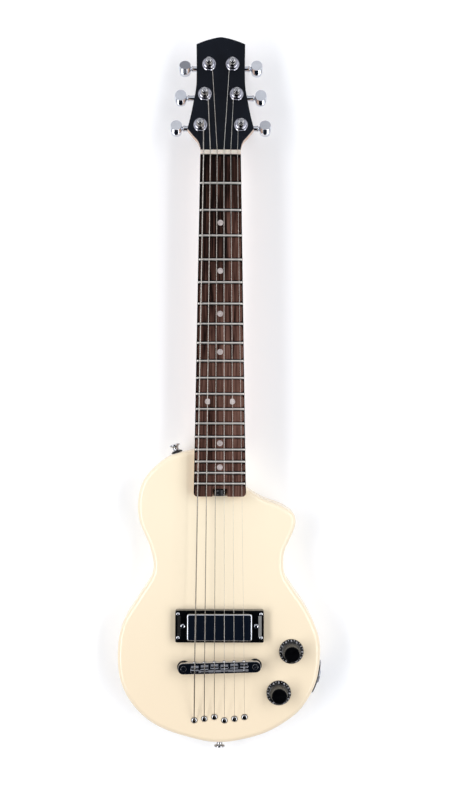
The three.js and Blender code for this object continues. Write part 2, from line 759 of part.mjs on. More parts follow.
// The turn from the last loop into the post's hole, and the angle at which it enters
function windingEntry(number) {
  const winding = windingOf(POST_PLACES[number], STRING_DIAMETERS[number]);
  const last = windingStart(number) + winding.turn * 2 * Math.PI * WINDING_LOOPS;
  const from = pointOnWinding(number, last, POST_HOLE_HEIGHT, winding.radius);
  const inward = new THREE.Vector3(-Math.cos(last), -Math.sin(last), 0);
  const along = new THREE.Vector3(inward.y, -inward.x, 0).multiplyScalar(winding.turn);
  const sweep = Math.acos(-WINDING_BEND / (winding.radius - WINDING_BEND));
  const points = [];
  for (let i = 1; i <= BEND_STEPS; i++) {
    const angle = sweep * i / BEND_STEPS;
    const point = from.clone().addScaledVector(along, WINDING_BEND * Math.sin(angle));
    points.push(point.addScaledVector(inward, WINDING_BEND * (1 - Math.cos(angle))));
  }
  const end = points[points.length - 1];
  const angle = Math.atan2(end.y - winding.centre.y, end.x - winding.centre.x);
  points.push(new THREE.Vector3(winding.centre.x, winding.centre.y, POST_HOLE_HEIGHT));
  return { points, angle };
}

function postGeometry(number) {
  const wheel = [];
  for (let i = 0; i < WHEEL_TEETH; i++) {
    for (const [share, radius] of [[0, WHEEL_RADIUS - TOOTH_DEPTH], [0.5, WHEEL_RADIUS]]) {
      const angle = 2 * Math.PI * (i + share) / WHEEL_TEETH;
      wheel.push([radius * Math.cos(angle), radius * Math.sin(angle)]);
    }
  }
  const shaft = turned([
    [0, WHEEL_TOP - WHEEL_THICKNESS / 2],
    [POST_RADIUS, WHEEL_TOP - WHEEL_THICKNESS / 2],
    [POST_RADIUS, WASHER_THICKNESS + HEX_HEIGHT],
    [POST_WAIST_RADIUS, WASHER_THICKNESS + HEX_HEIGHT + GAP],
    [POST_WAIST_RADIUS, POST_HOLE_HEIGHT + POST_WAIST_REACH],
    [POST_RADIUS, POST_HOLE_HEIGHT + POST_WAIST_REACH + GAP],
    [POST_RADIUS, POST_HEIGHT - POST_CROWN],
    [POST_RADIUS - POST_CROWN, POST_HEIGHT],
    [0, POST_HEIGHT],
  ], POST_SIDES);
  const holeRadius = STRING_DIAMETERS[0] / 2 + GAP + GLUE_LINE;
  const hole = rod(holeRadius, -OVERRUN * 2, OVERRUN * 2, BALL_SIDES).rotateY(Math.PI / 2);
  hole.rotateZ(windingEntry(number).angle).translate(0, 0, POST_HOLE_HEIGHT);
  return cut(join(plate(polygon(wheel), WHEEL_TOP - WHEEL_THICKNESS, WHEEL_TOP), shaft), hole);
}

function bushingGeometry() {
  const nutTop = WASHER_THICKNESS + HEX_HEIGHT;
  const hex = rod(HEX_ACROSS_FLATS / Math.sqrt(3), WASHER_THICKNESS - GLUE_LINE, nutTop, 6);
  const washer = rod(WASHER_RADIUS, GLUE_LINE, WASHER_THICKNESS, 2 * SHAFT_SIDES);
  const sleeve = rod(BUSHING_RADIUS, HEAD_BACK + GAP, WASHER_THICKNESS, BUSHING_SIDES);
  const bore = rod(POST_RADIUS + GAP, HEAD_BACK - OVERRUN, nutTop + OVERRUN, POST_SIDES);
  return cut(join(washer, sleeve, hex), bore);
}

function housingGeometry(side) {
  const top = HEAD_BACK - GAP;
  const across = around(HOUSING_SHIFT, HOUSING_WIDTH);
  const outer = block(around(0, HOUSING_LENGTH), across, [top - HOUSING_DEPTH, top]);
  const inside = block(
    around(0, HOUSING_LENGTH - 2 * HOUSING_WALL),
    around(HOUSING_SHIFT, HOUSING_WIDTH - 2 * HOUSING_WALL),
    [top - HOUSING_DEPTH + HOUSING_WALL, top - HOUSING_WALL],
  );
  const boss = rod(BOSS_RADIUS, HOUSING_LENGTH / 2 - HOUSING_WALL / 2, BOSS_REACH, SHAFT_SIDES);
  const bore = rod(SHAFT_RADIUS + GAP, 0, BOSS_REACH + OVERRUN, SHAFT_SIDES);
  const turnOut = (shape) => shape.rotateY(side * Math.PI / 2).translate(0, WORM_SHIFT, WORM_HEIGHT);
  const postBore = rod(POST_RADIUS + GAP, top - HOUSING_WALL - OVERRUN, top + OVERRUN, POST_SIDES);
  return cut(join(outer, turnOut(boss)), inside, turnOut(bore), postBore);
}

function buttonGeometry(side) {
  const oval = new THREE.Shape();
  oval.absellipse(0, 0, BUTTON_LENGTH / 2, BUTTON_WIDTH / 2, 0, 2 * Math.PI);
  const half = BUTTON_THICKNESS / 2;
  const grip = softPlate(oval, -half, half, BUTTON_EDGE, 1, BUTTON_SIDES);
  const shaft = rod(SHAFT_RADIUS, -WORM_LENGTH / 2 - GAP, BUTTON_REACH, SHAFT_SIDES);
  const worm = rod(WORM_RADIUS, -WORM_LENGTH / 2, WORM_LENGTH / 2, SHAFT_SIDES);
  const spindle = join(shaft, worm).rotateY(side * Math.PI / 2);
  return join(grip.translate(side * BUTTON_REACH, 0, 0), spindle);
}

function addTuners() {
  POST_PLACES.forEach((post, number) => {
    const tuner = new THREE.Group();
    tuner.position.set(post.side * post.across, post.along, 0);
    head.add(tuner);
    addMesh(`tuner_housing_${post.name}`, housingGeometry(post.side), chrome, tuner);
    addMesh(`tuner_post_${post.name}`, postGeometry(number), chrome, tuner);
    addMesh(`tuner_bushing_${post.name}`, bushingGeometry(), chrome, tuner);
    const button = addMesh(`tuner_button_${post.name}`, buttonGeometry(post.side), chrome, tuner);
    button.position.set(0, WORM_SHIFT, WORM_HEIGHT);
    button.rotation.x = THREE.MathUtils.degToRad(post.rest);
  });
}

// Strings

function saddleContact(number) {
  const x = stringAcross(SADDLE_STRING_SPREAD, number);
  const crest = new THREE.Vector3(x, SADDLE_OFFSETS[number], SADDLE_CREST);
  bridge.localToWorld(crest);
  return crest.setZ(SADDLE_TOP + GAP + STRING_DIAMETERS[number] / 2);
}

function stringPath(number) {
  const diameter = STRING_DIAMETERS[number];
  const x = stringAcross(FERRULE_SPREAD, number);
  const y = -FERRULE_PLACES[number];
  const mouth = BODY_DEPTH + FERRULE_RISE + GAP + diameter / 2;
  const contact = saddleContact(number);
  const bend = FERRULE_BORE_RADIUS;
  const tail = new THREE.Vector3(x, y, BALL_SEAT_DEPTH / 2);
  const rise = new THREE.Vector3(x, y, mouth - bend / 2);
  const over = mixed(new THREE.Vector3(x, y, mouth + bend / 8), contact, bend / (contact.y - y));
  const exit = head.localToWorld(nutExit(number));
  const nutFront = exit.clone().setY(SCALE_LENGTH);
  const loops = [];
  const winding = windingOf(POST_PLACES[number], diameter);
  const start = windingStart(number);
  const steps = Math.round(WINDING_LOOPS * WINDING_STEPS);
  for (let i = 0; i <= steps; i++) {
    const turns = WINDING_LOOPS * i / steps;
    const angle = start + winding.turn * 2 * Math.PI * turns;
    const height = POST_HOLE_HEIGHT - winding.pitch * (WINDING_LOOPS - turns);
    loops.push(pointOnWinding(number, angle, height, winding.radius));
  }
  const wound = [...loops, ...windingEntry(number).points].map((point) => head.localToWorld(point));
  const turnOver = mixed(rise, over, 0.5).setY(y + bend / 4);
  const lead = mixed(exit, wound[0], WINDING_LEAD_SHARE);
  return {
    points: [tail, rise, turnOver, over, contact, nutFront, exit, lead, ...wound],
    wound: loops,
  };
}

// The least air between one loop and any other that is half a turn or more away
function leastAir(points, diameter) {
  let least = Infinity;
  for (let i = 0; i < points.length; i++) {
    for (let k = i + WINDING_STEPS / 2; k < points.length; k++) {
      least = Math.min(least, points[i].distanceTo(points[k]) - diameter);
    }
  }
  return least;
}

function addStrings() {
  POST_PLACES.forEach((post, number) => {
    const diameter = STRING_DIAMETERS[number];
    const { points, wound } = stringPath(number);
    const ball = new THREE.SphereGeometry(BALL_RADIUS, BALL_SIDES, BALL_SIDES / 2);
    const seated = ball.translate(points[0].x, points[0].y, BALL_SEAT_DEPTH - BALL_RADIUS);
    const string = join(tubeAlong(points, diameter / 2, STRING_SIDES), seated);
    addMesh(`string_${post.name}`, string, number < STRING_COUNT / 2 ? bronze : steel);
    console.log(`string_${post.name}: least air between loops ${leastAir(wound, diameter).toFixed(3)} mm`);
  });
}

// Pickup

function pickupCavity() {
  const floor = BODY_DEPTH - PICKUP_CAVITY_DEPTH;
  const top = BODY_DEPTH + OVERRUN;
  const well = around(PICKUP_PLACE + COVER_SHIFT, COVER_WIDTH + 4 * GAP);
  const ears = around(PICKUP_PLACE, EAR_WIDTH + 4 * GAP);
  const pilots = ringScrewPlaces().map(([x, y]) => {
    const hole = rod(RING_SCREW_RADIUS + GAP, BODY_DEPTH - RING_SCREW_LENGTH, top, BALL_SIDES);
    return hole.translate(x, y, 0);
  });
  return [
    block(around(0, COVER_LENGTH + 4 * GAP), well, [floor, top]),
    block(around(0, EAR_LENGTH + 4 * GAP), ears, [floor, top]),
    ...pilots,
  ];
}

function ringScrewPlaces() {
  const places = [];
  for (const x of [-RING_SCREW_SPREAD / 2, RING_SCREW_SPREAD / 2]) {
    for (const y of [-RING_SCREW_PITCH / 2, RING_SCREW_PITCH / 2]) places.push([x, PICKUP_PLACE + y]);
  }
  return places;
}

function ringGeometry() {
  const bottom = BODY_DEPTH + GLUE_LINE;
  const top = BODY_DEPTH + RING_HEIGHT;
  const ringAt = (z, slope) => {
    const outline = roundedRectangle(RING_LENGTH - 2 * slope, RING_WIDTH - 2 * slope, BOARD_CORNER / 2);
    const points = outline.getPoints(CORNER_STEPS).slice(1);
    return points.map((point) => new THREE.Vector3(point.x, point.y + PICKUP_PLACE + RING_SHIFT, z));
  };
  const frame = loft([ringAt(bottom, 0), ringAt(bottom + RING_HEIGHT / 3, 0), ringAt(top, RING_SLOPE)]);
  const run = 2 * PICKUP_RUN_GAP;
  const window = roundedRectangle(COVER_LENGTH + run, COVER_WIDTH + run, COVER_ROUND);
  const hollow = block(
    around(0, EAR_LENGTH + 4 * GAP),
    around(PICKUP_PLACE, EAR_WIDTH + 4 * GAP),
    [bottom - OVERRUN, bottom + RING_HEIGHT / 2],
  );
  const screws = ringScrewPlaces().flatMap(([x, y]) => [
    rod(RING_SCREW_RADIUS, BODY_DEPTH - RING_SCREW_LENGTH + GAP, top, BALL_SIDES).translate(x, y, 0),
    rod(RING_HEAD_RADIUS, top - GAP, top + RING_HEAD_HEIGHT, SHAFT_SIDES).translate(x, y, 0),
  ]);
  const lifts = [-EAR_SPREAD / 2, EAR_SPREAD / 2].map((x) => {
    const hole = rod(LIFT_SCREW_RADIUS + GAP, bottom - OVERRUN, top + OVERRUN, SHAFT_SIDES);
    return hole.translate(x, PICKUP_PLACE, 0);
  });
  const opening = plate(window, bottom - OVERRUN, top + OVERRUN, SMALL_CORNER_STEPS);
  return join(cut(frame, opening.translate(0, PICKUP_PLACE + COVER_SHIFT, 0), hollow, ...lifts), ...screws);
}

function addPickup() {
  addMesh('pickup_ring', ringGeometry(), blackPlastic);
  const top = BODY_DEPTH + COVER_TOP;
  const outline = roundedRectangle(COVER_LENGTH, COVER_WIDTH, COVER_ROUND);
  const can = softPlate(outline, top - COVER_DEPTH, top, COVER_ROUND / 2, 1, SMALL_CORNER_STEPS);
  const earTop = top - COVER_DEPTH + EAR_THICKNESS;
  const ears = block(around(0, EAR_LENGTH), around(PICKUP_PLACE, EAR_WIDTH), [top - COVER_DEPTH, earTop]);
  const lifts = [-EAR_SPREAD / 2, EAR_SPREAD / 2];
  const taps = lifts.map((x) => {
    const hole = rod(LIFT_SCREW_RADIUS + GAP, top - COVER_DEPTH - OVERRUN, earTop + OVERRUN, SHAFT_SIDES);
    return hole.translate(x, PICKUP_PLACE, 0);
  });
  addMesh('pickup', cut(join(can.translate(0, PICKUP_PLACE + COVER_SHIFT, 0), ears), ...taps), chrome);
  ['bass', 'treble'].forEach((side, i) => {
    const seat = BODY_DEPTH + RING_HEIGHT + GAP;
    const screw = join(
      rod(LIFT_SCREW_RADIUS, seat - LIFT_SCREW_LENGTH, seat, SHAFT_SIDES),
      rod(LIFT_HEAD_RADIUS, seat, seat + LIFT_HEAD_HEIGHT, SHAFT_SIDES),
    );
    const slot = block(
      around(0, 2 * LIFT_HEAD_RADIUS + OVERRUN),
      around(0, LIFT_HEAD_HEIGHT / 2),
      [seat + LIFT_HEAD_HEIGHT / 2, seat + LIFT_HEAD_HEIGHT + OVERRUN],
    );
    const slotted = cut(screw, slot.rotateZ(Math.PI / 5)).translate(lifts[i], PICKUP_PLACE, 0);
    addMesh(`pickup_screw_${side}`, slotted, steel);
  });
}

// Bridge, in its own slanted frame on the body's face

function bridgeHoles() {
  return [-POST_SPREAD / 2, POST_SPREAD / 2].map((x) => {
    const hole = rod(STUD_RADIUS + GAP, -STUD_DEPTH - STUD_TRAVEL - GAP, OVERRUN, BUSHING_SIDES);
    return hole.translate(x, 0, 0).applyMatrix4(bridge.matrixWorld);
  });
}

function saddleSpan() {
  return SADDLE_LENGTH + 2 * (SADDLE_TRAVEL + GAP);
}

function bridgeGeometry() {
  const top = BRIDGE_BASE + BRIDGE_HEIGHT;
  const outline = roundedRectangle(BRIDGE_LENGTH, BRIDGE_WIDTH, BRIDGE_CORNER);
  const bar = softPlate(outline, BRIDGE_BASE, top, STUD_TOP, 1, WIDE_CORNER_STEPS);
  const channelLength = SADDLE_STRING_SPREAD + SADDLE_WIDTH + 2 * GAP;
  const channel = block(
    around(0, channelLength),
    around(0, saddleSpan()),
    [BRIDGE_BASE + BRIDGE_FLOOR, top + OVERRUN],
  );
  const studs = [-POST_SPREAD / 2, POST_SPREAD / 2].map((x) => {
    return rod(STUD_RADIUS + GAP, BRIDGE_BASE - OVERRUN, top + OVERRUN, BUSHING_SIDES).translate(x, 0, 0);
  });
  const screws = STRING_DIAMETERS.flatMap((_, i) => {
    const x = stringAcross(SADDLE_STRING_SPREAD, i);
    const half = BRIDGE_WIDTH / 2;
    const shank = rod(SADDLE_SCREW_RADIUS, -half + GAP, half, SHAFT_SIDES / 2);
    const cap = rod(SADDLE_HEAD_RADIUS, half - GAP, half + SADDLE_HEAD_LENGTH, SHAFT_SIDES);
    const lay = (shape) => shape.rotateX(-Math.PI / 2).translate(x, 0, saddleScrewHeight());
    return [lay(shank), lay(cap)];
  });
  return join(cut(bar, channel, ...studs), ...screws);
}

function saddleScrewHeight() {
  return BRIDGE_BASE + BRIDGE_HEIGHT / 2 + SADDLE_SCREW_RADIUS / 2;
}

function saddleGeometry() {
  const [half, crest] = [SADDLE_LENGTH / 2, SADDLE_CREST_LENGTH / 2];
  const shoulder = BRIDGE_BASE + BRIDGE_HEIGHT - GAP;
  const bottom = BRIDGE_BASE + BRIDGE_FLOOR + GAP;
  const side = polygon([
    [-half, bottom],
    [half, bottom],
    [half, shoulder],
    [crest, SADDLE_CREST],
    [-crest, SADDLE_CREST],
    [-half, shoulder],
  ]);
  const width = SADDLE_WIDTH / 2;
  const wedge = plate(side, -width, width).rotateX(Math.PI / 2).rotateZ(Math.PI / 2);
  const bore = rod(SADDLE_SCREW_RADIUS + GAP, -half - OVERRUN, half + OVERRUN, SHAFT_SIDES / 2);
  return cut(wedge, bore.rotateX(-Math.PI / 2).translate(0, 0, saddleScrewHeight()));
}

function studGeometry() {
  const top = BRIDGE_BASE + BRIDGE_HEIGHT + STUD_TOP;
  const wheelTop = THUMBWHEEL_BASE + THUMBWHEEL_THICKNESS;
  const edge = THUMBWHEEL_THICKNESS / 5;
  const post = turned([
    [0, -STUD_DEPTH],
    [STUD_RADIUS, -STUD_DEPTH],
    [STUD_RADIUS, THUMBWHEEL_BASE],
    [THUMBWHEEL_RADIUS - edge, THUMBWHEEL_BASE],
    [THUMBWHEEL_RADIUS, THUMBWHEEL_BASE + edge],
    [THUMBWHEEL_RADIUS, wheelTop - edge],
    [THUMBWHEEL_RADIUS - edge, wheelTop],
    [STUD_RADIUS, wheelTop],
    [STUD_RADIUS, top],
    [0, top],
  ], BUSHING_SIDES);
  const slotDepth = [top - STUD_SLOT_DEPTH, top + OVERRUN];
  const slot = block(around(0, 2 * STUD_RADIUS + OVERRUN), around(0, STUD_SLOT_WIDTH), slotDepth);
  return cut(post, slot);
}

function addBridge() {
  addMesh('bridge_body', bridgeGeometry(), chrome, bridge);
  POST_PLACES.forEach((post, number) => {
    const saddle = addMesh(`saddle_${post.name}`, saddleGeometry(), chrome, bridge);
    saddle.position.set(stringAcross(SADDLE_STRING_SPREAD, number), SADDLE_OFFSETS[number], 0);
  });
  ['bass', 'treble'].forEach((side, i) => {
    const stud = addMesh(`bridge_post_${side}`, studGeometry(), chrome, bridge);
    stud.position.x = [-POST_SPREAD / 2, POST_SPREAD / 2][i];
  });
}

// String block: a bar let into the back with a ferrule for each string

function blockCentre() {
  return -(Math.max(...FERRULE_PLACES) + Math.min(...FERRULE_PLACES)) / 2;
}

function blockHoles() {
  const seat = roundedRectangle(BLOCK_LENGTH + 2 * GAP, BLOCK_WIDTH + 2 * GAP, BLOCK_WIDTH / 2);
  const recess = plate(seat, -OVERRUN, BLOCK_THICKNESS + GAP, WIDE_CORNER_STEPS);
  const holes = FERRULE_PLACES.map((place, i) => {
    const hole = rod(FERRULE_RADIUS + GAP, 0, BODY_DEPTH + OVERRUN, FERRULE_SIDES);
    return hole.translate(stringAcross(FERRULE_SPREAD, i), -place, 0);
  });
  return [recess.translate(0, blockCentre(), 0), ...holes];
}

function addStringBlock() {
  const outline = roundedRectangle(BLOCK_LENGTH, BLOCK_WIDTH, BLOCK_WIDTH / 2);
  const bar = plate(outline, GAP, BLOCK_THICKNESS, WIDE_CORNER_STEPS).translate(0, blockCentre(), 0);
  const top = BODY_DEPTH + FERRULE_RISE;
  const shoulder = FERRULE_SHOULDER_SHARES;
  const pieces = [];
  const bores = [];
  FERRULE_PLACES.forEach((place, i) => {
    const x = stringAcross(FERRULE_SPREAD, i);
    const sleeve = turned([
      [0, BLOCK_THICKNESS / 2],
      [FERRULE_RADIUS, BLOCK_THICKNESS / 2],
      [FERRULE_RADIUS, BODY_DEPTH + GAP],
      [FERRULE_RADIUS * shoulder.radius, BODY_DEPTH + FERRULE_RISE * shoulder.height],
      [FERRULE_RADIUS * FERRULE_CROWN_SHARE, top],
      [0, top],
    ], FERRULE_SIDES);
    pieces.push(sleeve.translate(x, -place, 0));
    bores.push(rod(FERRULE_BORE_RADIUS, 0, top + OVERRUN, BALL_SIDES).translate(x, -place, 0));
    bores.push(rod(BALL_SEAT_RADIUS, -OVERRUN, BALL_SEAT_DEPTH + GAP, SHAFT_SIDES).translate(x, -place, 0));
  });
  addMesh('string_block', cut(join(bar, ...pieces), ...bores), chrome);
}

// Volume and tone controls

function capsule(radius) {
  const [from, to] = [TONE_PLACE, VOLUME_PLACE];
  const lean = Math.atan2(to[1] - from[1], to[0] - from[0]);
  const shape = new THREE.Shape();
  shape.absarc(to[0], to[1], radius, lean - Math.PI / 2, lean + Math.PI / 2);
  shape.absarc(from[0], from[1], radius, lean + Math.PI / 2, lean + 1.5 * Math.PI);
  return shape;
}

function coverScrewPlaces() {
  const [from, to] = [TONE_PLACE, VOLUME_PLACE];
  const lean = Math.atan2(to[1] - from[1], to[0] - from[0]);
  const reach = CAVITY_RADIUS + COVER_LIP / 2;
  const ends = [
    [to, lean - Math.PI / 6],
    [to, lean + Math.PI / 2],
    [from, lean + Math.PI],
    [from, lean - Math.PI / 2],
  ];
  return ends.map(([centre, angle]) => [
    centre[0] + reach * Math.cos(angle),
    centre[1] + reach * Math.sin(angle),
  ]);
}

function controlCavity() {
  const recess = plate(capsule(CAVITY_RADIUS + COVER_LIP + GAP), -OVERRUN, BACK_RECESS, CAVITY_STEPS);
  const hollow = plate(capsule(CAVITY_RADIUS), -OVERRUN, CONTROL_CEILING, CAVITY_STEPS);
  const shafts = [VOLUME_PLACE, TONE_PLACE].map(([x, y]) => {
    const radius = POT_BUSHING_RADIUS + GAP;
    return rod(radius, CONTROL_CEILING - OVERRUN, BODY_DEPTH + OVERRUN, POT_SIDES).translate(x, y, 0);
  });
  const pilots = coverScrewPlaces().map(([x, y]) => {
    const hole = rod(COVER_SCREW_RADIUS + GAP, 0, BACK_RECESS + COVER_SCREW_LENGTH, BALL_SIDES);
    return hole.translate(x, y, 0);
  });
  return [recess, hollow, ...shafts, ...pilots];
}

function knobGeometry() {
  const base = BODY_DEPTH + GAP;
  const top = BODY_DEPTH + KNOB_HEIGHT;
  const dial = turned([
    [0, base],
    [KNOB_RADIUS, base],
    [KNOB_RADIUS, base + KNOB_EDGE],
    [KNOB_RADIUS - KNOB_EDGE, base + KNOB_SKIRT_HEIGHT],
    [KNOB_WAIST_RADIUS + KNOB_EDGE, base + KNOB_SKIRT_HEIGHT + KNOB_EDGE],
    [KNOB_WAIST_RADIUS, base + KNOB_SKIRT_HEIGHT + 2 * KNOB_EDGE],
    [KNOB_TOP_RADIUS + KNOB_EDGE, top - KNOB_EDGE],
    [KNOB_TOP_RADIUS, top],
    [0, top],
  ], KNOB_SIDES);
  const ceiling = base + KNOB_RECESS_DEPTH;
  const recess = rod(KNOB_RECESS_RADIUS, base - OVERRUN, ceiling, POT_SIDES);
  const shaft = rod(POT_SHAFT_RADIUS, BODY_DEPTH - POT_SHAFT_DEPTH, ceiling + OVERRUN, POT_SIDES);
  return join(cut(dial, recess), shaft);
}

function potGeometry() {
  const top = CONTROL_CEILING - GAP;
  const can = rod(POT_RADIUS, top - POT_HEIGHT, top, POT_SIDES);
  const bushing = rod(POT_BUSHING_RADIUS, top - OVERRUN, BODY_DEPTH + POT_BUSHING_RISE, POT_SIDES);
  const boreFloor = BODY_DEPTH - POT_SHAFT_DEPTH - GAP;
  const bore = rod(POT_SHAFT_RADIUS + GAP, boreFloor, BODY_DEPTH + KNOB_HEIGHT, POT_SIDES);
  return cut(join(can, bushing), bore);
}

function addControls() {
  for (const [name, [x, y]] of [['volume', VOLUME_PLACE], ['tone', TONE_PLACE]]) {
    addMesh(`${name}_knob`, knobGeometry(), blackPlastic).position.set(x, y, 0);
    addMesh(`${name}_pot`, potGeometry(), steel).position.set(x, y, 0);
  }
  const lidTop = BACK_RECESS - GLUE_LINE;
  const outline = capsule(CAVITY_RADIUS + COVER_LIP);
  const lid = plate(outline, lidTop - BACK_COVER_THICKNESS, lidTop, CAVITY_STEPS);
  const screws = coverScrewPlaces().map(([x, y]) => {
    const tip = BACK_RECESS + COVER_SCREW_LENGTH - GAP;
    return rod(COVER_SCREW_RADIUS, BACK_RECESS / 2, tip, BALL_SIDES).translate(x, y, 0);
  });
  addMesh('control_cover', join(lid, ...screws), blackPlastic);
}

// Output jack on the treble edge

function edgeNear([x, y]) {
  const target = new THREE.Vector3(x, y, 0);
  const samples = bodyEdge.getPoints(EDGE_SEARCH_STEPS);
  let best = 1;
  for (let i = 1; i < samples.length - 1; i++) {
    if (samples[i].distanceTo(target) < samples[best].distanceTo(target)) best = i;
  }
  const along = samples[best + 1].clone().sub(samples[best - 1]).normalize();
  return { point: samples[best], along, out: new THREE.Vector3(along.y, -along.x, 0) };
}

function jackFrame() {
  const { point, out } = edgeNear(JACK_PLACE);
  const angle = Math.atan2(out.y, out.x);
  const turnOut = (shape) => shape.rotateY(Math.PI / 2).rotateZ(angle);
  const place = (shape) => turnOut(shape).translate(point.x, point.y, BODY_DEPTH / 2);
  return { place, point, out };
}

function jackHole() {
  const { place } = jackFrame();
  return [place(rod(JACK_BARREL_RADIUS + GAP, -JACK_LENGTH, OVERRUN, JACK_SIDES))];
}

function jackPlateGeometry() {
  const { place, point, out } = jackFrame();
  const along = new THREE.Vector3(-out.y, out.x, 0);
  const inner = [];
  const outer = [];
  for (let i = 0; i <= JACK_PLATE_STEPS; i++) {
    const reach = JACK_PLATE_LENGTH * (i / JACK_PLATE_STEPS - 0.5);
    const near = edgeNear([point.x + along.x * reach, point.y + along.y * reach]);
    const at = (lift) => [near.point.x + near.out.x * lift, near.point.y + near.out.y * lift];
    inner.push(at(GAP));
    outer.push(at(GAP + JACK_PLATE_THICKNESS));
  }
  const band = polygon([...inner, ...outer.reverse()]);
  const z = around(BODY_DEPTH / 2, JACK_PLATE_HEIGHT);
  const hole = rod(JACK_BARREL_RADIUS + GAP, -OVERRUN, JACK_PLATE_THICKNESS + 2 * OVERRUN, JACK_SIDES);
  return cut(plate(band, z[0], z[1]), place(hole));
}

function addJack() {
  addMesh('jack_plate', jackPlateGeometry(), chrome);
  const { place } = jackFrame();
  const seat = 2 * GAP + JACK_PLATE_THICKNESS;
  const front = seat + JACK_NUT_THICKNESS;
  const socket = turned([
    [0, -JACK_LENGTH + OVERRUN],
    [JACK_BARREL_RADIUS, -JACK_LENGTH + OVERRUN],
    [JACK_BARREL_RADIUS, seat],
    [JACK_NUT_RADIUS, seat],
    [JACK_NUT_RADIUS, front],
    [JACK_BORE_RADIUS, front],
    [JACK_BORE_RADIUS, front - JACK_BORE_DEPTH],
    [0, front - JACK_BORE_DEPTH],
  ], JACK_SIDES);
  addMesh('jack_socket', welded(place(socket)), chrome);
}

// Truss rod wheel at the end of the fretboard

function addTrussWheel() {
  const start = GAP;
  const end = start + TRUSS_WHEEL_LENGTH;
  const wheel = rod(TRUSS_WHEEL_RADIUS, start, end, POT_SIDES);
  const stub = rod(TRUSS_STUB_RADIUS, start, TRUSS_NOTCH_LENGTH + TRUSS_STUB_LENGTH, SHAFT_SIDES);
  const holes = Array.from({ length: TRUSS_HOLES }, (_, i) => {
    const angle = 2 * Math.PI * (i + TRUSS_HOLE_PHASE_SHARE) / TRUSS_HOLES;
    const floor = TRUSS_WHEEL_RADIUS - TRUSS_HOLE_DEPTH;
    const hole = rod(TRUSS_HOLE_RADIUS, floor, TRUSS_WHEEL_RADIUS + OVERRUN, BALL_SIDES);
    return hole.rotateY(Math.PI / 2).rotateZ(angle).translate(0, 0, (start + end) / 2);
  });
  const spoked = cut(join(wheel, stub), ...holes).rotateX(-Math.PI / 2);
  addMesh('truss_rod_wheel', spoked.translate(0, BOARD_END, TRUSS_AXIS), blackSteel);
}

// Strap buttons

function strapSeats() {
  const shoulder = bodyEdge.getPointAt(STRAP_SHOULDER_SHARE);
  const { point, out } = edgeNear([shoulder.x, shoulder.y]);
  const tail = new THREE.Vector3(0, -TAIL_LENGTH, 0);
  return [
    { name: 'upper', point, out },
    { name: 'lower', point: tail, out: new THREE.Vector3(0, -1, 0) },
  ];
}

function atSeat(shape, seat) {
  const angle = Math.atan2(seat.out.y, seat.out.x);
  return shape.rotateY(Math.PI / 2).rotateZ(angle).translate(seat.point.x, seat.point.y, BODY_DEPTH / 2);
}

function strapHoles() {
  return strapSeats().map((seat) => {
    const hole = rod(STRAP_SCREW_RADIUS + GAP, -STRAP_SCREW_LENGTH - GAP, OVERRUN, BALL_SIDES);
    return atSeat(hole, seat);
  });
}

function addStrapButtons() {
  const flangeBase = STRAP_HEIGHT - STRAP_FLANGE_THICKNESS;
  const edge = STRAP_FLANGE_THICKNESS / 4;
  const profile = [
    [0, -STRAP_SCREW_LENGTH],
    [STRAP_SCREW_RADIUS, -STRAP_SCREW_LENGTH],
    [STRAP_SCREW_RADIUS, GAP],
    [STRAP_WASHER_RADIUS, GAP],
    [STRAP_WASHER_RADIUS, STRAP_WASHER_THICKNESS],
    [STRAP_BASE_RADIUS, STRAP_WASHER_THICKNESS],
    [STRAP_BASE_RADIUS, STRAP_WASHER_THICKNESS + edge],
    [STRAP_NECK_RADIUS, STRAP_WASHER_THICKNESS + STRAP_FLANGE_THICKNESS],
    [STRAP_NECK_RADIUS, flangeBase - edge],
    [STRAP_FLANGE_RADIUS, flangeBase],
    [STRAP_FLANGE_RADIUS, STRAP_HEIGHT - edge],
    [STRAP_FLANGE_RADIUS - edge, STRAP_HEIGHT],
    [0, STRAP_HEIGHT],
  ];
  for (const seat of strapSeats()) {
    const button = turned(profile, STRAP_SIDES);
    const slot = block(
      around(0, STRAP_FLANGE_RADIUS),
      around(0, STRAP_SLOT_WIDTH),
      [STRAP_HEIGHT - STRAP_SLOT_DEPTH, STRAP_HEIGHT + OVERRUN],
    );
    addMesh(`strap_button_${seat.name}`, atSeat(cut(button, slot), seat), chrome);
  }
}

// Neck plate

function neckBoltPlaces() {
  const places = [];
  for (const x of [-NECK_BOLT_SPREAD / 2, NECK_BOLT_SPREAD / 2]) {
    for (const y of [-NECK_BOLT_PITCH / 2, NECK_BOLT_PITCH / 2]) places.push([x, NECK_PLATE_PLACE + y]);
  }
  return places;
}

function neckPlateHoles(top) {
  const seat = roundedRectangle(NECK_PLATE_WIDTH + 2 * GAP, NECK_PLATE_LENGTH + 2 * GAP, NECK_PLATE_CORNER);
  const recess = plate(seat, -OVERRUN, NECK_PLATE_RECESS, SMALL_CORNER_STEPS);
  const holes = neckBoltPlaces().map(([x, y]) => {
    return rod(NECK_BOLT_RADIUS + GAP, 0, top, BOLT_SIDES).translate(x, y, 0);
  });
  return [recess.translate(0, NECK_PLATE_PLACE, 0), ...holes];
}

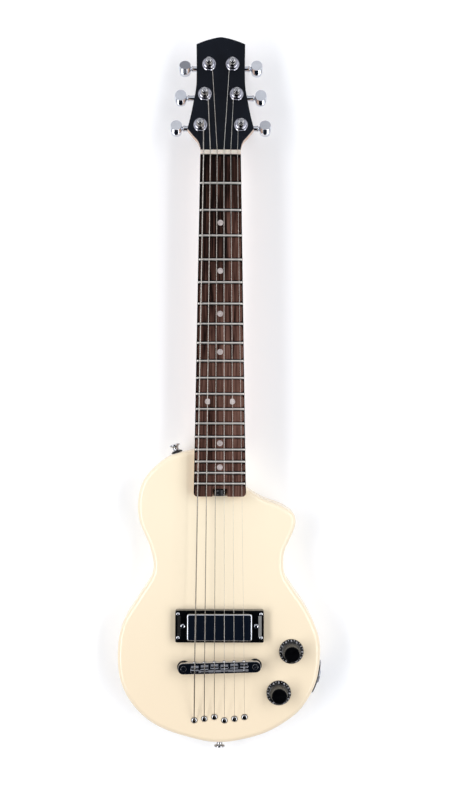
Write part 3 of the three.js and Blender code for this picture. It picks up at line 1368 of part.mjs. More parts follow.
function addNeckPlate() {
  const outline = roundedRectangle(NECK_PLATE_WIDTH, NECK_PLATE_LENGTH, NECK_PLATE_CORNER);
  const top = NECK_PLATE_RECESS - GLUE_LINE;
  const bottom = top - NECK_PLATE_THICKNESS;
  const sheet = plate(outline, bottom, top, SMALL_CORNER_STEPS).translate(0, NECK_PLATE_PLACE, 0);
  const bolts = neckBoltPlaces().flatMap(([x, y]) => {
    const shank = rod(NECK_BOLT_RADIUS, bottom, POCKET_FLOOR + NECK_BOLT_REACH, BOLT_SIDES);
    const crown = rod(NECK_BOLT_HEAD_RADIUS, bottom - NECK_BOLT_HEAD_HEIGHT, bottom + GLUE_LINE, BOLT_SIDES);
    return [shank.translate(x, y, 0), crown.translate(x, y, 0)];
  });
  addMesh('neck_plate', join(sheet, ...bolts), chrome);
}
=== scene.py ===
"""A short-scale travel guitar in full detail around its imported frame, on a white studio table."""
import json
from math import acos, atan2, copysign, cos, degrees, hypot, log, pi, radians, sin, sqrt

import bmesh
import bpy
from mathutils import Matrix, Vector

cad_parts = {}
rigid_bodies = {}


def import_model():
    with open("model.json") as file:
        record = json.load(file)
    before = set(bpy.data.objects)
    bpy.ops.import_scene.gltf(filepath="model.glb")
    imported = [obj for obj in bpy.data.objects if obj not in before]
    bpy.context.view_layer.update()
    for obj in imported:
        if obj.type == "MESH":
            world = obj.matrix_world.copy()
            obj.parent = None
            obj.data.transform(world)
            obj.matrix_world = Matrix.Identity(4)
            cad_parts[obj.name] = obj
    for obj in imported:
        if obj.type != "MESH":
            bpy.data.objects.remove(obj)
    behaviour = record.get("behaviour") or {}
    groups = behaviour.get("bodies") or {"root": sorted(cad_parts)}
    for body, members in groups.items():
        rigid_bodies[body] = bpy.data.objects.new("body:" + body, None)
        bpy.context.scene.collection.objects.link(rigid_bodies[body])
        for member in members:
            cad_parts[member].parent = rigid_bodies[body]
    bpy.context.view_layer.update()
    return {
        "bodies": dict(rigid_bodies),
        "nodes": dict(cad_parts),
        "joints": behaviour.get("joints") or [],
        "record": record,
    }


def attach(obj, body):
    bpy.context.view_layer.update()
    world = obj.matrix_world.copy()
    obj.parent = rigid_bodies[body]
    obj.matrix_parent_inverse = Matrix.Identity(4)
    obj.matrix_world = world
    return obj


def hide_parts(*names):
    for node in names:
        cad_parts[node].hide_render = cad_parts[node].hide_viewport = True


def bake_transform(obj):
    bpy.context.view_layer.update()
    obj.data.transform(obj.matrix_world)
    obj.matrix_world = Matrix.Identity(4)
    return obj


# Shapes are made in millimetres and become metres when they are placed; angles are degrees
MM = 0.001
GAP = 0.3
GLUE_LINE = 0.1
OVERRUN = 2.0
CREASE = 38
MOTTLE_FINENESS = 8.0
CROSS_RECESS = 0.55
SIDES = ("bass", "treble")

# Camera: straight above the face, as the photograph was taken
CAMERA_PLACE = (6.7, 271.9, 1343.0)
CAMERA_FAR_END = 120
LENS = 56.1
CAMERA_ROLL = 0.13

# Body
BODY_DEPTH = 44
BODY_LENGTH = 305.3
BODY_HALF_WIDTH = 106
TAIL_LENGTH = 85.8
BODY_EDGE_ROUND = 5
HEEL_HALF_WIDTH = 25.2
HEEL_FILLET = 5
BODY_OUTLINE_SHARES = [
    (-0.269, 1.0), (-0.42, 0.9885), (-0.539, 0.971), (-0.698, 0.923), (-0.777, 0.878), (-0.809, 0.812),
    (-0.79, 0.754), (-0.692, 0.672), (-0.652, 0.61), (-0.672, 0.569), (-0.819, 0.487), (-0.958, 0.405),
    (-1.005, 0.301), (-0.967, 0.2), (-0.829, 0.117), (-0.612, 0.056), (-0.198, 0.0085), (0, 0),
    (0.193, 0.0075), (0.453, 0.033), (0.67, 0.075), (0.808, 0.117), (0.945, 0.2), (0.993, 0.301),
    (0.976, 0.364), (0.876, 0.446), (0.719, 0.528), (0.647, 0.569), (0.627, 0.61), (0.636, 0.651),
    (0.685, 0.692), (0.736, 0.733), (0.748, 0.757), (0.731, 0.781), (0.665, 0.8), (0.584, 0.814),
    (0.422, 0.835), (0.271, 0.866),
]
OUTLINE_STEPS = 16

# Neck and fretboard. A heel station is a share of the heel's run, how far the neck is thinned there,
# and how round its section is
SCALE_LENGTH = 525
FRET_COUNT = 18
FRET_WIDTH = 2.3
FRET_HEIGHT = 1.1
FRET_INSET = 0.5
FRET_END_RUN = 0.9
FRET_SEAT = 0.25
NUT_WIDTH = 42
BOARD_END_WIDTH = 54
BOARD_PAST_LAST_FRET = 13.4
BOARD_THICKNESS = 6
BOARD_CORNER = 3.7
BOARD_ARCH_RADIUS = 420
FIELD_CORNER = 3.6
NECK_RISE = 8
NECK_DEPTH_AT_NUT = 15.5
NECK_DEPTH_AT_BODY = 17.5
POCKET_DEPTH = 18
TENON_LENGTH = 47
HEEL_RUN = 26
HEEL_STATIONS = [(-0.5, 0, 0.12), (0, 0, 0.12), (0.25, 0.3, 0.35), (0.5, 0.7, 0.65), (1, 1, 0.85)]
SHAFT_ROUNDNESS = 0.85
SINGLE_DOTS = [3, 5, 7, 9, 15, 17]
DOUBLE_DOT = 12
DOT_RADIUS = 3
DOT_SPREAD = 12.6

# Nut and headstock
NUT_THICKNESS = 4.5
NUT_HEIGHT = 8.6
NUT_STRING_SPREAD = 35
NUT_STRING_HEIGHT = 7.6
NUT_SLOT_AIR = 0.12
HEAD_LENGTH = 121.2
HEAD_HALF_WIDTH = 34.5
HEAD_THICKNESS = 14
VENEER_THICKNESS = 1.5
HEAD_EDGE_ROUND = 1.2
VENEER_EDGE_ROUND = 0.35
HEAD_TONGUE = (22, 18)
HEAD_TILT = 4
HEAD_THROAT_SHARES = [(0.6, 0), (0.606, 0.02), (0.638, 0.062), (0.704, 0.099), (0.82, 0.136), (1, 0.198)]
HEAD_SIDE_SHARES = [(1, 0.198), (0.904, 0.309), (0.812, 0.441), (0.742, 0.56), (0.728, 0.7), (0.736, 0.9365)]
HEAD_CROWN_SHARES = [(0.37, 0.985), (0, 1)]

# Strings and tuners. A post's place is its side, then how far across and along the headstock it stands.
# A button's level is a share of half its thickness, and how far its outline has become that of a face
STRING_NAMES = ["low_e", "a", "d", "g", "b", "high_e"]
STRING_DIAMETERS = [1.17, 0.91, 0.66, 0.43, 0.33, 0.25]
WOUND_STRINGS = 3
RIDGE_PITCH = 0.32
RIDGE_DEPTH_SHARE = 0.1
STRING_REACH_BEHIND = 9
STRING_REACH_AHEAD = 26
WINDING_LOOPS = 2.25
WINDING_AIR = 0.46
WINDING_BEND = 0.95
WINDING_STEPS = 36
WINDING_SPARE = 30
BALL_RADIUS = 1.9
POST_PLACES = [
    (-1, 21.1, 27.9), (-1, 16.5, 60.5), (-1, 12.2, 92.2), (1, 12.2, 92.2), (1, 16.5, 60.5), (1, 21.1, 27.9),
]
BUTTON_RESTS = [-18, -8, -24, -14, -6, -22]
POST_RADIUS = 3
POST_WAIST_RADIUS = 2.5
POST_HEIGHT = 15
POST_HOLE_HEIGHT = 9.6
WASHER_RADIUS = 7.1
HEX_ACROSS_FLATS = 10.6
HEX_TOP = 4
BUSHING_RADIUS = 4.4
HOUSING_SIZE = (17, 15, 11)
HOUSING_SHIFT = 1
HOUSING_CORNER = 2.4
HOUSING_WALL = 1.5
GEAR_TEETH = 14
GEAR_RADII = (4.4, 5.2)
GEAR_LEVELS = (-18.7, -16.1)
POST_FOOT = -17.4
WORM_HEIGHT = -21.3
WORM_SHIFT = 2
SHAFT_RADIUS = 1.7
BOSS_REACH = 18.6
BUTTON_REACH = 25.7
BUTTON_SIZE = (12.8, 17, 7.6)
BUTTON_LEVELS = [(0, 0), (0.12, 0), (0.26, 0.05), (0.36, 0.16), (0.9, 0.93), (0.96, 0.985), (1, 1)]

# Pickup
PICKUP_PLACE = 38
RING_SIZE = (92.2, 33.8)
RING_SHIFT = -0.6
RING_HEIGHT = 9
RING_SLOPE_RUN = (40.2, 43.6)
RING_SLOPE_DROP = 0.86
RING_SCREW_SPREAD = 86
RING_SCREW_PITCH = 24.6
PICKUP_COVER_SIZE = (67.3, 27.7)
PICKUP_COVER_SHIFT = -0.9
PICKUP_COVER_ROUND = 2.4
PICKUP_TOP = 58
PICKUP_COVER_DEPTH = 18
PICKUP_WELL_FLOOR = 20
EAR_SPREAD = 76
HEIGHT_SCREW_RADIUS = 1.3
HEIGHT_SCREW_LENGTH = 21.5
EAR_SIZE = (81.4, 11)

# Bridge
BRIDGE_PLACE = 4.1
BRIDGE_SLANT = 1.7
BRIDGE_SIZE = (85.5, 11.6)
BRIDGE_BASE = 8.3
BRIDGE_HEIGHT = 7.5
BRIDGE_CORNER = 5.2
POST_SPREAD = 74
SADDLE_SPREAD = 51
SADDLE_CREST = 18.3
SADDLE_SIZE = (8, 3.6)
SADDLE_TRAVEL = 2.1
SADDLE_OFFSETS = [-1.2, -0.6, 0, -0.6, 0, 0.6]
STUD_RADIUS = 3
STUD_BORE_DEPTH = 21.3
THUMBWHEEL_RADIUS = 7

# Ferrules and string block
FERRULE_SPREAD = 52.4
FERRULE_PLACES = [61.9, 60.3, 58.4, 61.9, 60.3, 58.4]
FERRULE_RADIUS = 3.1
FERRULE_RISE = 1.7
FERRULE_BORE_RADIUS = 1.5
BLOCK_SIZE = (62, 12, 6.5)

# Controls
KNOB_PLACES = {"volume": (74.8, 10.2), "tone": (61.8, -33)}
KNOB_RADIUS = 12.8
KNOB_TOP_RADIUS = 7.7
KNOB_WAIST_RADIUS = 9.4
KNOB_RIDGES = 60
KNOB_RIDGE = 0.16
KNOB_HEIGHT = 18
KNOB_RECESS_RADIUS = 7
KNOB_SHAFT_RADIUS = 3
KNOB_SHAFT_REACH = 15
NUMERALS = 11
NUMERAL_STEP = 30
FIRST_NUMERAL_TURN = 150
DIAL_SLOPE = 40
NUMERAL_SIZE = 3.4
NUMERAL_RELIEF = 0.06
POT_BORE_RADIUS = 4.5
CAVITY_RADIUS = 15.5
COVER_LIP = 4.5
COVER_SCREW_RADIUS = 1.2
COVER_SCREW_BORE_DEPTH = 8
BACK_RECESS = 2.6
CONTROL_CEILING = 36

# Jack, strap buttons, truss rod wheel and neck plate
JACK_PLACE = (103, -19.7)
JACK_PLATE_SIZE = (35, 30, 1.5)
JACK_BARREL_RADIUS = 5.7
JACK_BARREL_LENGTH = 29
JACK_PLUG_RADIUS = 3.4
JACK_PLUG_DEPTH = 28
JACK_SCREW_PITCH = 26.8
JACK_BORE_DEPTH = 31
STRAP_SHOULDER_SHARE = 0.022
STRAP_HEIGHT = 9.7
STRAP_WASHER = (5.9, 1.8)
STRAP_FLANGE_RADIUS = 5.6
STRAP_SCREW_RADIUS = 1.8
STRAP_BORE_DEPTH = 16.3
TRUSS_NOTCH = (15.8, 8.2)
TRUSS_WHEEL_RADIUS = 6.3
TRUSS_WHEEL_LENGTH = 6.6
TRUSS_STUB_RADIUS = 2.5
TRUSS_STUB_END = 22
TRUSS_BORE_LENGTH = 16
NECK_PLATE_SIZE = (37, 36, 1.6)
NECK_PLATE_CORNER = 4
NECK_PLATE_TOP = 3.7
NECK_BOLT_PITCHES = (26, 25)
NECK_BOLT_RADIUS = 2.2
NECK_BOLT_LENGTH = 38
NECK_BOLT_BITE = 16

# Studio. A light has a place, a target, a size and a power in watts
OPENING_LEAN = 28
WORLD_STRENGTH = 0.85
FLOOR_REACH = 40000
FLOOR_HEIGHT = -0.4
LIGHTS = {
    "key_right": ((890, 100, 1530), (0, 200, 0), (2200, 200), 8.8),
    "side_right": ((1400, 150, 1450), (0, 200, 0), (2200, 600), 12.4),
    "side_left": ((-1350, 150, 1450), (0, 250, 0), (2200, 600), 23.4),
}

# Places that follow
NECK_TOP = BODY_DEPTH + NECK_RISE
BOARD_TOP = NECK_TOP + BOARD_THICKNESS
NUT_BACK = SCALE_LENGTH + NUT_THICKNESS
BOARD_END = SCALE_LENGTH * 2 ** (-FRET_COUNT / 12) - BOARD_PAST_LAST_FRET
SHOULDER = BODY_LENGTH - TAIL_LENGTH
TENON_END = max(BOARD_END + TENON_LENGTH, SHOULDER - GAP)
POCKET_FLOOR = BODY_DEPTH - POCKET_DEPTH
NUT_SEAT = NECK_TOP + NUT_STRING_HEIGHT
TRUSS_AXIS = NECK_TOP - 3.1
NECK_PLATE_PLACE = BOARD_END + TENON_LENGTH / 2


# Matrices

def shift(x=0.0, y=0.0, z=0.0):
    return Matrix.Translation((x, y, z))


def turn(axis, angle):
    return Matrix.Rotation(radians(angle), 4, axis)


HEAD = shift(0, NUT_BACK, NECK_TOP) @ turn("X", -HEAD_TILT)
BRIDGE = shift(0, -BRIDGE_PLACE, BODY_DEPTH) @ turn("Z", BRIDGE_SLANT)


# Closed shapes, as points and faces

class Shape:
    def __init__(self, points, faces):
        self.points = [Vector(point) for point in points]
        self.faces = [tuple(face) for face in faces]

    def moved(self, *matrices):
        points = self.points
        for matrix in reversed(matrices):
            points = [matrix @ point for point in points]
        return Shape(points, self.faces)

    def at(self, x=0.0, y=0.0, z=0.0):
        return self.moved(shift(x, y, z))

    def with_also(self, *others):
        points, faces = list(self.points), list(self.faces)
        for other in others:
            start = len(points)
            points.extend(other.points)
            faces.extend(tuple(start + index for index in face) for face in other.faces)
        return Shape(points, faces)


def facing_out(shape):
    volume = 0.0
    for face in shape.faces:
        a = shape.points[face[0]]
        for b, c in zip(face[1:-1], face[2:]):
            volume += a.dot(shape.points[b].cross(shape.points[c]))
    if volume < 0:
        shape.faces = [face[::-1] for face in shape.faces]
    return shape


def loft(rings):
    """Join rings of equal length one after another and close both ends."""
    count = len(rings[0])
    points = [point for ring in rings for point in ring]
    faces = []
    for level in range(len(rings) - 1):
        for i in range(count):
            a, b = level * count + i, level * count + (i + 1) % count
            faces.append((a, b, b + count, a + count))
    faces.append(tuple(range(count))[::-1])
    faces.append(tuple(range(len(points) - count, len(points))))
    return facing_out(Shape(points, faces))


def inset_ring(outline, inset, z):
    ring = []
    count = len(outline)
    for i in range(count):
        before, here, after = outline[i - 1], outline[i], outline[(i + 1) % count]
        first = Vector((here[0] - before[0], here[1] - before[1])).normalized()
        second = Vector((after[0] - here[0], after[1] - here[1])).normalized()
        inward = Vector((-first.y - second.y, first.x + second.x))
        if inward.length < 1e-6:
            inward = Vector((-first.y, first.x))
        inward.normalize()
        miter = min(1 / max(inward.dot(Vector((-first.y, first.x))), 0.4), 2.5)
        ring.append(Vector((here[0] + inward.x * inset * miter, here[1] + inward.y * inset * miter, z)))
    return ring


def counterclockwise(outline):
    area = sum(a[0] * b[1] - a[1] * b[0] for a, b in zip(outline, outline[1:] + outline[:1]))
    return outline if area > 0 else outline[::-1]


def plate(outline, levels):
    """A flat plate with an outline, through (inset, height) levels from its lower face to its upper."""
    outline = counterclockwise(list(outline))
    return loft([inset_ring(outline, inset, z) for inset, z in levels])


def slab(outline, bottom, top):
    return plate(outline, [(0, bottom), (0, top)])


def soft_plate(outline, bottom, top, low, high, steps=5):
    """A plate whose lower and upper edges have the radii low and high."""
    levels = []
    for i in range(steps + 1 if low else 1):
        angle = pi / 2 * i / steps
        levels.append((low * (1 - sin(angle)), bottom + low * (1 - cos(angle))))
    for i in range(steps + 1 if high else 1):
        angle = pi / 2 * i / steps
        levels.append((high * (1 - cos(angle)), top - high * (1 - sin(angle))))
    return plate(outline, levels)


def circle(radius, sides):
    angles = [2 * pi * i / sides for i in range(sides)]
    return [(radius * cos(angle), radius * sin(angle)) for angle in angles]


def arc(x, y, radius, start, end, steps):
    angles = [radians(start + (end - start) * i / steps) for i in range(steps + 1)]
    return [(x + radius * cos(angle), y + radius * sin(angle)) for angle in angles]


def rounded_rectangle(length, width, corner, steps=8):
    x, y = length / 2 - corner, width / 2 - corner
    outline = arc(x, y, corner, 0, 90, steps) + arc(-x, y, corner, 90, 180, steps)
    return outline + arc(-x, -y, corner, 180, 270, steps) + arc(x, -y, corner, 270, 360, steps)


def span(size, centre=0):
    return (centre - size / 2, centre + size / 2)


def block(x, y, z):
    return slab([(x[0], y[0]), (x[1], y[0]), (x[1], y[1]), (x[0], y[1])], *z)


def rod(radius, bottom, top, sides=32, edge=0.0):
    return soft_plate(circle(radius, sides), bottom, top, edge, edge, 3)


def toothed(count, profile):
    """An outline with a profile of points, each a share of one tooth and a radius, repeated round it."""
    outline = []
    for i in range(count):
        for share, radius in profile:
            angle = 2 * pi * (i + share) / count
            outline.append((radius * cos(angle), radius * sin(angle)))
    return outline


def turned(profile, sides=48):
    """Turn (radius, height) points round the Z axis; the profile starts and ends on the axis."""
    points = [Vector((0, 0, profile[0][1]))]
    for radius, height in profile[1:-1]:
        points.extend(Vector((x, y, height)) for x, y in circle(radius, sides))
    points.append(Vector((0, 0, profile[-1][1])))
    faces = [(0, 1 + (i + 1) % sides, 1 + i) for i in range(sides)]
    for ring in range(len(profile) - 3):
        for i in range(sides):
            a, b = 1 + ring * sides + i, 1 + ring * sides + (i + 1) % sides
            faces.append((a, b, b + sides, a + sides))
    last = len(points) - 1
    faces.extend((last, last - sides + i, last - sides + (i + 1) % sides) for i in range(sides))
    return facing_out(Shape(points, faces))


def tube(path, radii, sides):
    """A round tube along a path, with one radius for each point and each ring square to the path."""
    rings = []
    across = Vector((1, 0, 0))
    for i, point in enumerate(path):
        along = (path[min(i + 1, len(path) - 1)] - path[max(i - 1, 0)]).normalized()
        across = (across - along * across.dot(along)).normalized()
        up = along.cross(across)
        angles = [2 * pi * k / sides for k in range(sides)]
        rings.append([point + (across * cos(a) + up * sin(a)) * radii[i] for a in angles])
    return loft(rings)


# Boolean cuts and joins

def linked(name, data):
    made = bpy.data.objects.new(name, data)
    bpy.context.scene.collection.objects.link(made)
    return made


def temporary(shape):
    mesh = bpy.data.meshes.new("working")
    mesh.from_pydata(shape.points, [], shape.faces)
    return linked("working", mesh)


def evaluated(holder):
    graph = bpy.context.evaluated_depsgraph_get()
    return bpy.data.meshes.new_from_object(holder.evaluated_get(graph))


def discard(*holders):
    for holder in holders:
        mesh = holder.data
        bpy.data.objects.remove(holder)
        bpy.data.meshes.remove(mesh)


def shape_of(mesh):
    shape = Shape([vertex.co.copy() for vertex in mesh.vertices], [face.vertices for face in mesh.polygons])
    bpy.data.meshes.remove(mesh)
    return shape


def combined(base, tools, operation):
    holder = temporary(base)
    others = [temporary(tool) for tool in tools]
    for other in others:
        step = holder.modifiers.new("step", "BOOLEAN")
        step.operation = operation
        step.object = other
        step.solver = "MANIFOLD"
    shape = shape_of(evaluated(holder))
    discard(holder, *others)
    return shape


def carved(base, *tools):
    return combined(base, tools, "DIFFERENCE")


def joined(base, *others):
    return combined(base, others, "UNION")


# Procedural materials: each has a colour that varies, and roughness and relief of its own

class Graph:
    """A tree of nodes, with short ways to add a node and to join it to what it works on."""

    def __init__(self, tree):
        self.tree = tree

    def put(self, value, socket):
        if isinstance(value, bpy.types.NodeSocket):
            self.tree.links.new(value, socket)
        else:
            socket.default_value = value

    def node(self, kind, inputs=(), **settings):
        made = self.tree.nodes.new(f"ShaderNode{kind}")
        for name, value in settings.items():
            setattr(made, name, value)
        for socket, value in dict(inputs).items():
            self.put(value, made.inputs[socket])
        return made

    def compute(self, operation, *values):
        return self.node("Math", enumerate(values), operation=operation).outputs[0]

    def split(self, vector):
        return self.node("SeparateXYZ", {"Vector": vector}).outputs

    def remap(self, factor, low, high, start=0.3, end=0.7):
        inputs = {"Value": factor, "From Min": start, "From Max": end, "To Min": low, "To Max": high}
        return self.node("MapRange", inputs).outputs["Result"]

    def ramp(self, factor, stops):
        made = self.node("ValToRGB", {"Fac": factor})
        elements = made.color_ramp.elements
        while len(elements) < len(stops):
            elements.new(0.5)
        for element, (position, color) in zip(elements, stops):
            element.position = position
            element.color = (*color, 1)
        return made.outputs["Color"]


class Look(Graph):
    """A material, with constants straight on its shader's sockets and textures that follow the object."""

    def __init__(self, name, **constants):
        self.material = bpy.data.materials.new(name)
        self.material.use_nodes = True
        super().__init__(self.material.node_tree)
        self.inputs = self.tree.nodes["Principled BSDF"].inputs
        for socket, value in constants.items():
            self.inputs[socket.replace("_", " ").title().replace("Ior", "IOR")].default_value = value

    def coordinates(self, stretch=(1, 1, 1)):
        place_on_object = self.node("TexCoord").outputs["Object"]
        return self.node("Mapping", {"Vector": place_on_object, "Scale": stretch}).outputs["Vector"]

    def noise(self, vector, scale, detail=4.0, roughness=0.55, distortion=0.0):
        inputs = {"Vector": vector, "Scale": scale, "Detail": detail, "Roughness": roughness}
        return self.node("TexNoise", {**inputs, "Distortion": distortion}).outputs["Fac"]

    def finished(self, tone, stops, grain, roughness, relief, strength=0.5):
        """The material: a tone sets its colour, and a grain sets its roughness and its relief."""
        self.put(self.ramp(tone, stops), self.inputs["Base Color"])
        self.put(self.remap(grain, *roughness), self.inputs["Roughness"])
        if relief:
            bump = self.node("Bump", {"Strength": strength, "Distance": relief * MM, "Height": grain})
            self.put(bump.outputs["Normal"], self.inputs["Normal"])
        return self.material


def mottled(name, dark, light, roughness, scale, stretch=(1, 1, 1), relief=0.0, **constants):
    """A material whose colour moves between two tones, with roughness and relief of a finer noise."""
    look = Look(name, **constants)
    vector = look.coordinates(stretch)
    broad = look.noise(vector, scale)
    close = look.noise(vector, scale * MOTTLE_FINENESS, detail=6)
    return look.finished(broad, [(0.35, dark), (0.65, light)], close, roughness, relief)


def maple():
    """Wood whose grain runs along Y, with broad rings and fine fibres, under lacquer."""
    look = Look("neck_maple", coat_weight=0.35, coat_roughness=0.12)
    rings = look.noise(look.coordinates((1, 0.045, 1)), 130, detail=7, distortion=0.6)
    fibres = look.noise(look.coordinates((1, 0.02, 1)), 900, detail=3, roughness=0.7)
    tone = look.compute("MULTIPLY_ADD", fibres, 0.45, look.compute("MULTIPLY", rings, 0.55))
    stops = [(0.3, (0.5, 0.3, 0.2)), (0.52, (0.64, 0.42, 0.29)), (0.7, (0.72, 0.51, 0.37))]
    return look.finished(tone, stops, fibres, (0.36, 0.46), 0.03)


def field_edge(look, x, y):
    """How far inside its fret field a point of the board lies, in metres; the field's corners are round."""
    round_off = FIELD_CORNER * MM
    octaves = look.compute("LOGARITHM", look.compute("DIVIDE", SCALE_LENGTH * MM, y), 2)
    share = look.compute("PINGPONG", look.compute("MULTIPLY", octaves, 12), 0.5)
    from_fret = look.compute("MULTIPLY", share, look.compute("MULTIPLY", y, log(2) / 12))
    from_fret = look.compute("SUBTRACT", from_fret, FRET_WIDTH / 2 * MM)
    past_last = look.remap(y, 1, 0, (BOARD_END + 9) * MM, (BOARD_END + 10) * MM)
    from_fret = look.compute("MAXIMUM", from_fret, look.compute("MULTIPLY", past_last, round_off))
    slope = (NUT_WIDTH - BOARD_END_WIDTH) / 2 / (SCALE_LENGTH - BOARD_END)
    half = look.compute("MULTIPLY_ADD", y, slope, (NUT_WIDTH / 2 - slope * SCALE_LENGTH) * MM)
    from_side = look.compute("SUBTRACT", half, look.compute("ABSOLUTE", x))
    squares = []
    for distance in (from_fret, from_side):
        short = look.compute("MAXIMUM", look.compute("SUBTRACT", round_off, distance), 0)
        squares.append(look.compute("MULTIPLY", short, short))
    reach = look.compute("POWER", look.compute("ADD", *squares), 0.5)
    return look.compute("SUBTRACT", round_off, reach)


def rosewood():
    """Dark streaked wood, darkest at the nut and on the bass side, with painted shade along frets and edges.
    """
    look = Look("board_rosewood", specular_ior_level=0.05)
    x, y, _ = look.split(look.coordinates())
    rings = look.noise(look.coordinates((1, 0.035, 1)), 300, detail=8, roughness=0.62, distortion=0.9)
    fibres = look.noise(look.coordinates((1, 0.02, 1)), 1100, detail=3, roughness=0.7)
    streaks = look.compute("MULTIPLY_ADD", rings, 0.62, look.compute("MULTIPLY", fibres, 0.38))
    by_length = look.remap(y, 0.005, -0.125, 0.3, SCALE_LENGTH * MM)
    by_side = look.remap(x, -0.03, 0.045, -BOARD_END_WIDTH / 2 * MM, BOARD_END_WIDTH / 2 * MM)
    # painted shade: the board darkens in lines along each fret and its edges, with rounded field corners
    painted_fret_shade = look.remap(field_edge(look, x, y), -0.26, 0, 0, 1.2 * MM)
    tone = look.compute("ADD", look.compute("ADD", streaks, by_length), look.compute("ADD", by_side, painted_fret_shade))
    stops = [
        (0.3, (0.001, 0.0004, 0.0003)), (0.38, (0.006, 0.0025, 0.0018)), (0.44, (0.034, 0.0145, 0.0105)),
        (0.52, (0.085, 0.04, 0.03)), (0.62, (0.15, 0.08, 0.062)), (0.75, (0.2, 0.115, 0.09)),
    ]
    return look.finished(tone, stops, fibres, (0.5, 0.68), 0.12)


def string_steel(name, tones, relief):
    """Drawn steel, darker over the body and lighter over the board as painted shade."""
    look = Look(name, metallic=1.0)
    vector = look.coordinates()
    grain = look.noise(vector, 900, detail=3)
    # painted shade: the strings darken over the body and brighten over the board
    painted_string_shade = look.remap(look.split(vector)["Y"], 0.5, 1, 0.14, 0.2)
    stops = list(zip((0.16, 0.3, 0.45, 0.6), tones))
    return look.finished(look.compute("MULTIPLY", grain, painted_string_shade), stops, grain, (0.3, 0.4), relief)


def painted_body():
    """Cream gloss over a sealed body, a little darker and warmer towards the tail."""
    look = Look("body_cream", coat_weight=0.3, coat_ior=2.2, coat_roughness=0.04, specular_ior_level=0.2)
    vector = look.coordinates()
    along = look.remap(look.split(vector)["Y"], 0, 1, -0.08, 0.2)
    tone = look.compute("MULTIPLY_ADD", look.noise(vector, 9, detail=2), 0.25, along)
    skin = look.noise(vector, 420, detail=2)
    stops = [(0.05, (0.85, 0.71, 0.52)), (1.0, (0.91, 0.8, 0.605))]
    return look.finished(tone, stops, skin, (0.3, 0.38), 0.012, 0.2)


# Mottled looks: dark tone, light tone, range of roughness, scale of the noise, and what else each has
MOTTLED_LOOKS = {
    "headstock_black": (
        (0.002, 0.003, 0.006), (0.004, 0.006, 0.011), (0.2, 0.28), 30,
        {"relief": 0.003, "specular_ior_level": 0.13},
    ),
    "nut_bone": (
        (0.55, 0.48, 0.41), (0.66, 0.6, 0.53), (0.32, 0.45), 500,
        {"stretch": (1, 1, 0.4), "relief": 0.01, "subsurface_weight": 0.1, "subsurface_scale": 0.002},
    ),
    "chrome": (
        (0.66, 0.68, 0.73), (0.72, 0.74, 0.79), (0.05, 0.1), 90, {"relief": 0.002, "metallic": 1.0},
    ),
    "shadowed_chrome": (
        (0.42, 0.42, 0.43), (0.48, 0.48, 0.5), (0.05, 0.1), 90, {"relief": 0.002, "metallic": 1.0},
    ),
    # painted shade: a darker, bluish copy of chrome for the tuner bushings, for their dimmer reflections
    "bushing_shaded_chrome": (
        (0.44, 0.44, 0.5), (0.5, 0.5, 0.56), (0.08, 0.14), 90, {"relief": 0.002, "metallic": 1.0},
    ),
    "fret_nickel": (
        (0.86, 0.82, 0.77), (0.94, 0.9, 0.84), (0.32, 0.42), 260,
        {"stretch": (0.2, 4, 1), "relief": 0.01, "metallic": 1.0},
    ),
    "inlay_grey": (
        (0.36, 0.31, 0.3), (0.56, 0.5, 0.49), (0.22, 0.34), 420,
        {"relief": 0.004, "coat_weight": 0.4, "coat_roughness": 0.1},
    ),
    "black_plastic": (
        (0.0008, 0.0008, 0.001), (0.002, 0.002, 0.0024), (0.07, 0.13), 160,
        {"relief": 0.002, "specular_ior_level": 0.5},
    ),
    "knob_grip": (
        (0.028, 0.028, 0.028), (0.05, 0.05, 0.048), (0.24, 0.32), 260,
        {"relief": 0.004, "specular_ior_level": 0.5},
    ),
    # black steel for the truss rod wheel; on the chrome bridge thumbwheels a painted dark reflection
    "black_steel": (
        (0.012, 0.012, 0.014), (0.03, 0.03, 0.034), (0.3, 0.45), 300, {"relief": 0.02, "metallic": 0.7},
    ),
    "felt_black": (
        (0.006, 0.006, 0.007), (0.02, 0.02, 0.022), (0.85, 0.98), 900, {"relief": 0.15, "sheen_weight": 0.3},
    ),
    "numeral_white": (
        (0.5, 0.5, 0.55), (0.64, 0.64, 0.68), (0.4, 0.55), 900, {"relief": 0.004},
    ),
}


def make_looks():
    wound = [(0.14, 0.12, 0.1), (0.22, 0.2, 0.17), (0.38, 0.35, 0.32), (0.52, 0.49, 0.45)]
    bare = [(0.36, 0.33, 0.28), (0.5, 0.47, 0.42), (0.6, 0.58, 0.54), (0.72, 0.7, 0.66)]
    looks = {
        "body_cream": painted_body(),
        "neck_maple": maple(),
        "board_rosewood": rosewood(),
        "steel_wound": string_steel("steel_wound", wound, 0.01),
        "steel_plain": string_steel("steel_plain", bare, 0.004),
    }
    for name, (dark, light, roughness, scale, more) in MOTTLED_LOOKS.items():
        looks[name] = mottled(name, dark, light, roughness, scale, **more)
    return looks


# Placing finished pieces

def shade(mesh, crease):
    work = bmesh.new()
    work.from_mesh(mesh)
    limit = radians(crease)
    for edge in work.edges:
        edge.smooth = len(edge.link_faces) == 2 and edge.calc_face_angle(0) < limit
    for face in work.faces:
        face.smooth = True
    work.to_mesh(mesh)
    work.free()


def place(name, shape, look, body="root", stands_for=(), crease=CREASE):
    mesh = bpy.data.meshes.new(name)
    mesh.from_pydata([point * MM for point in shape.points], [], shape.faces)
    mesh.validate()
    shade(mesh, crease)
    piece = linked(name, mesh)
    step = piece.modifiers.new("normals", "WEIGHTED_NORMAL")
    step.keep_sharp = True
    piece.data = evaluated(piece)
    piece.modifiers.clear()
    bpy.data.meshes.remove(mesh)
    piece.data.name = name
    piece.data.materials.clear()
    piece.data.materials.append(LOOKS[look])
    if body:
        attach(piece, body)
    if stands_for:
        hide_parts(*stands_for)
    return piece


# Small fasteners

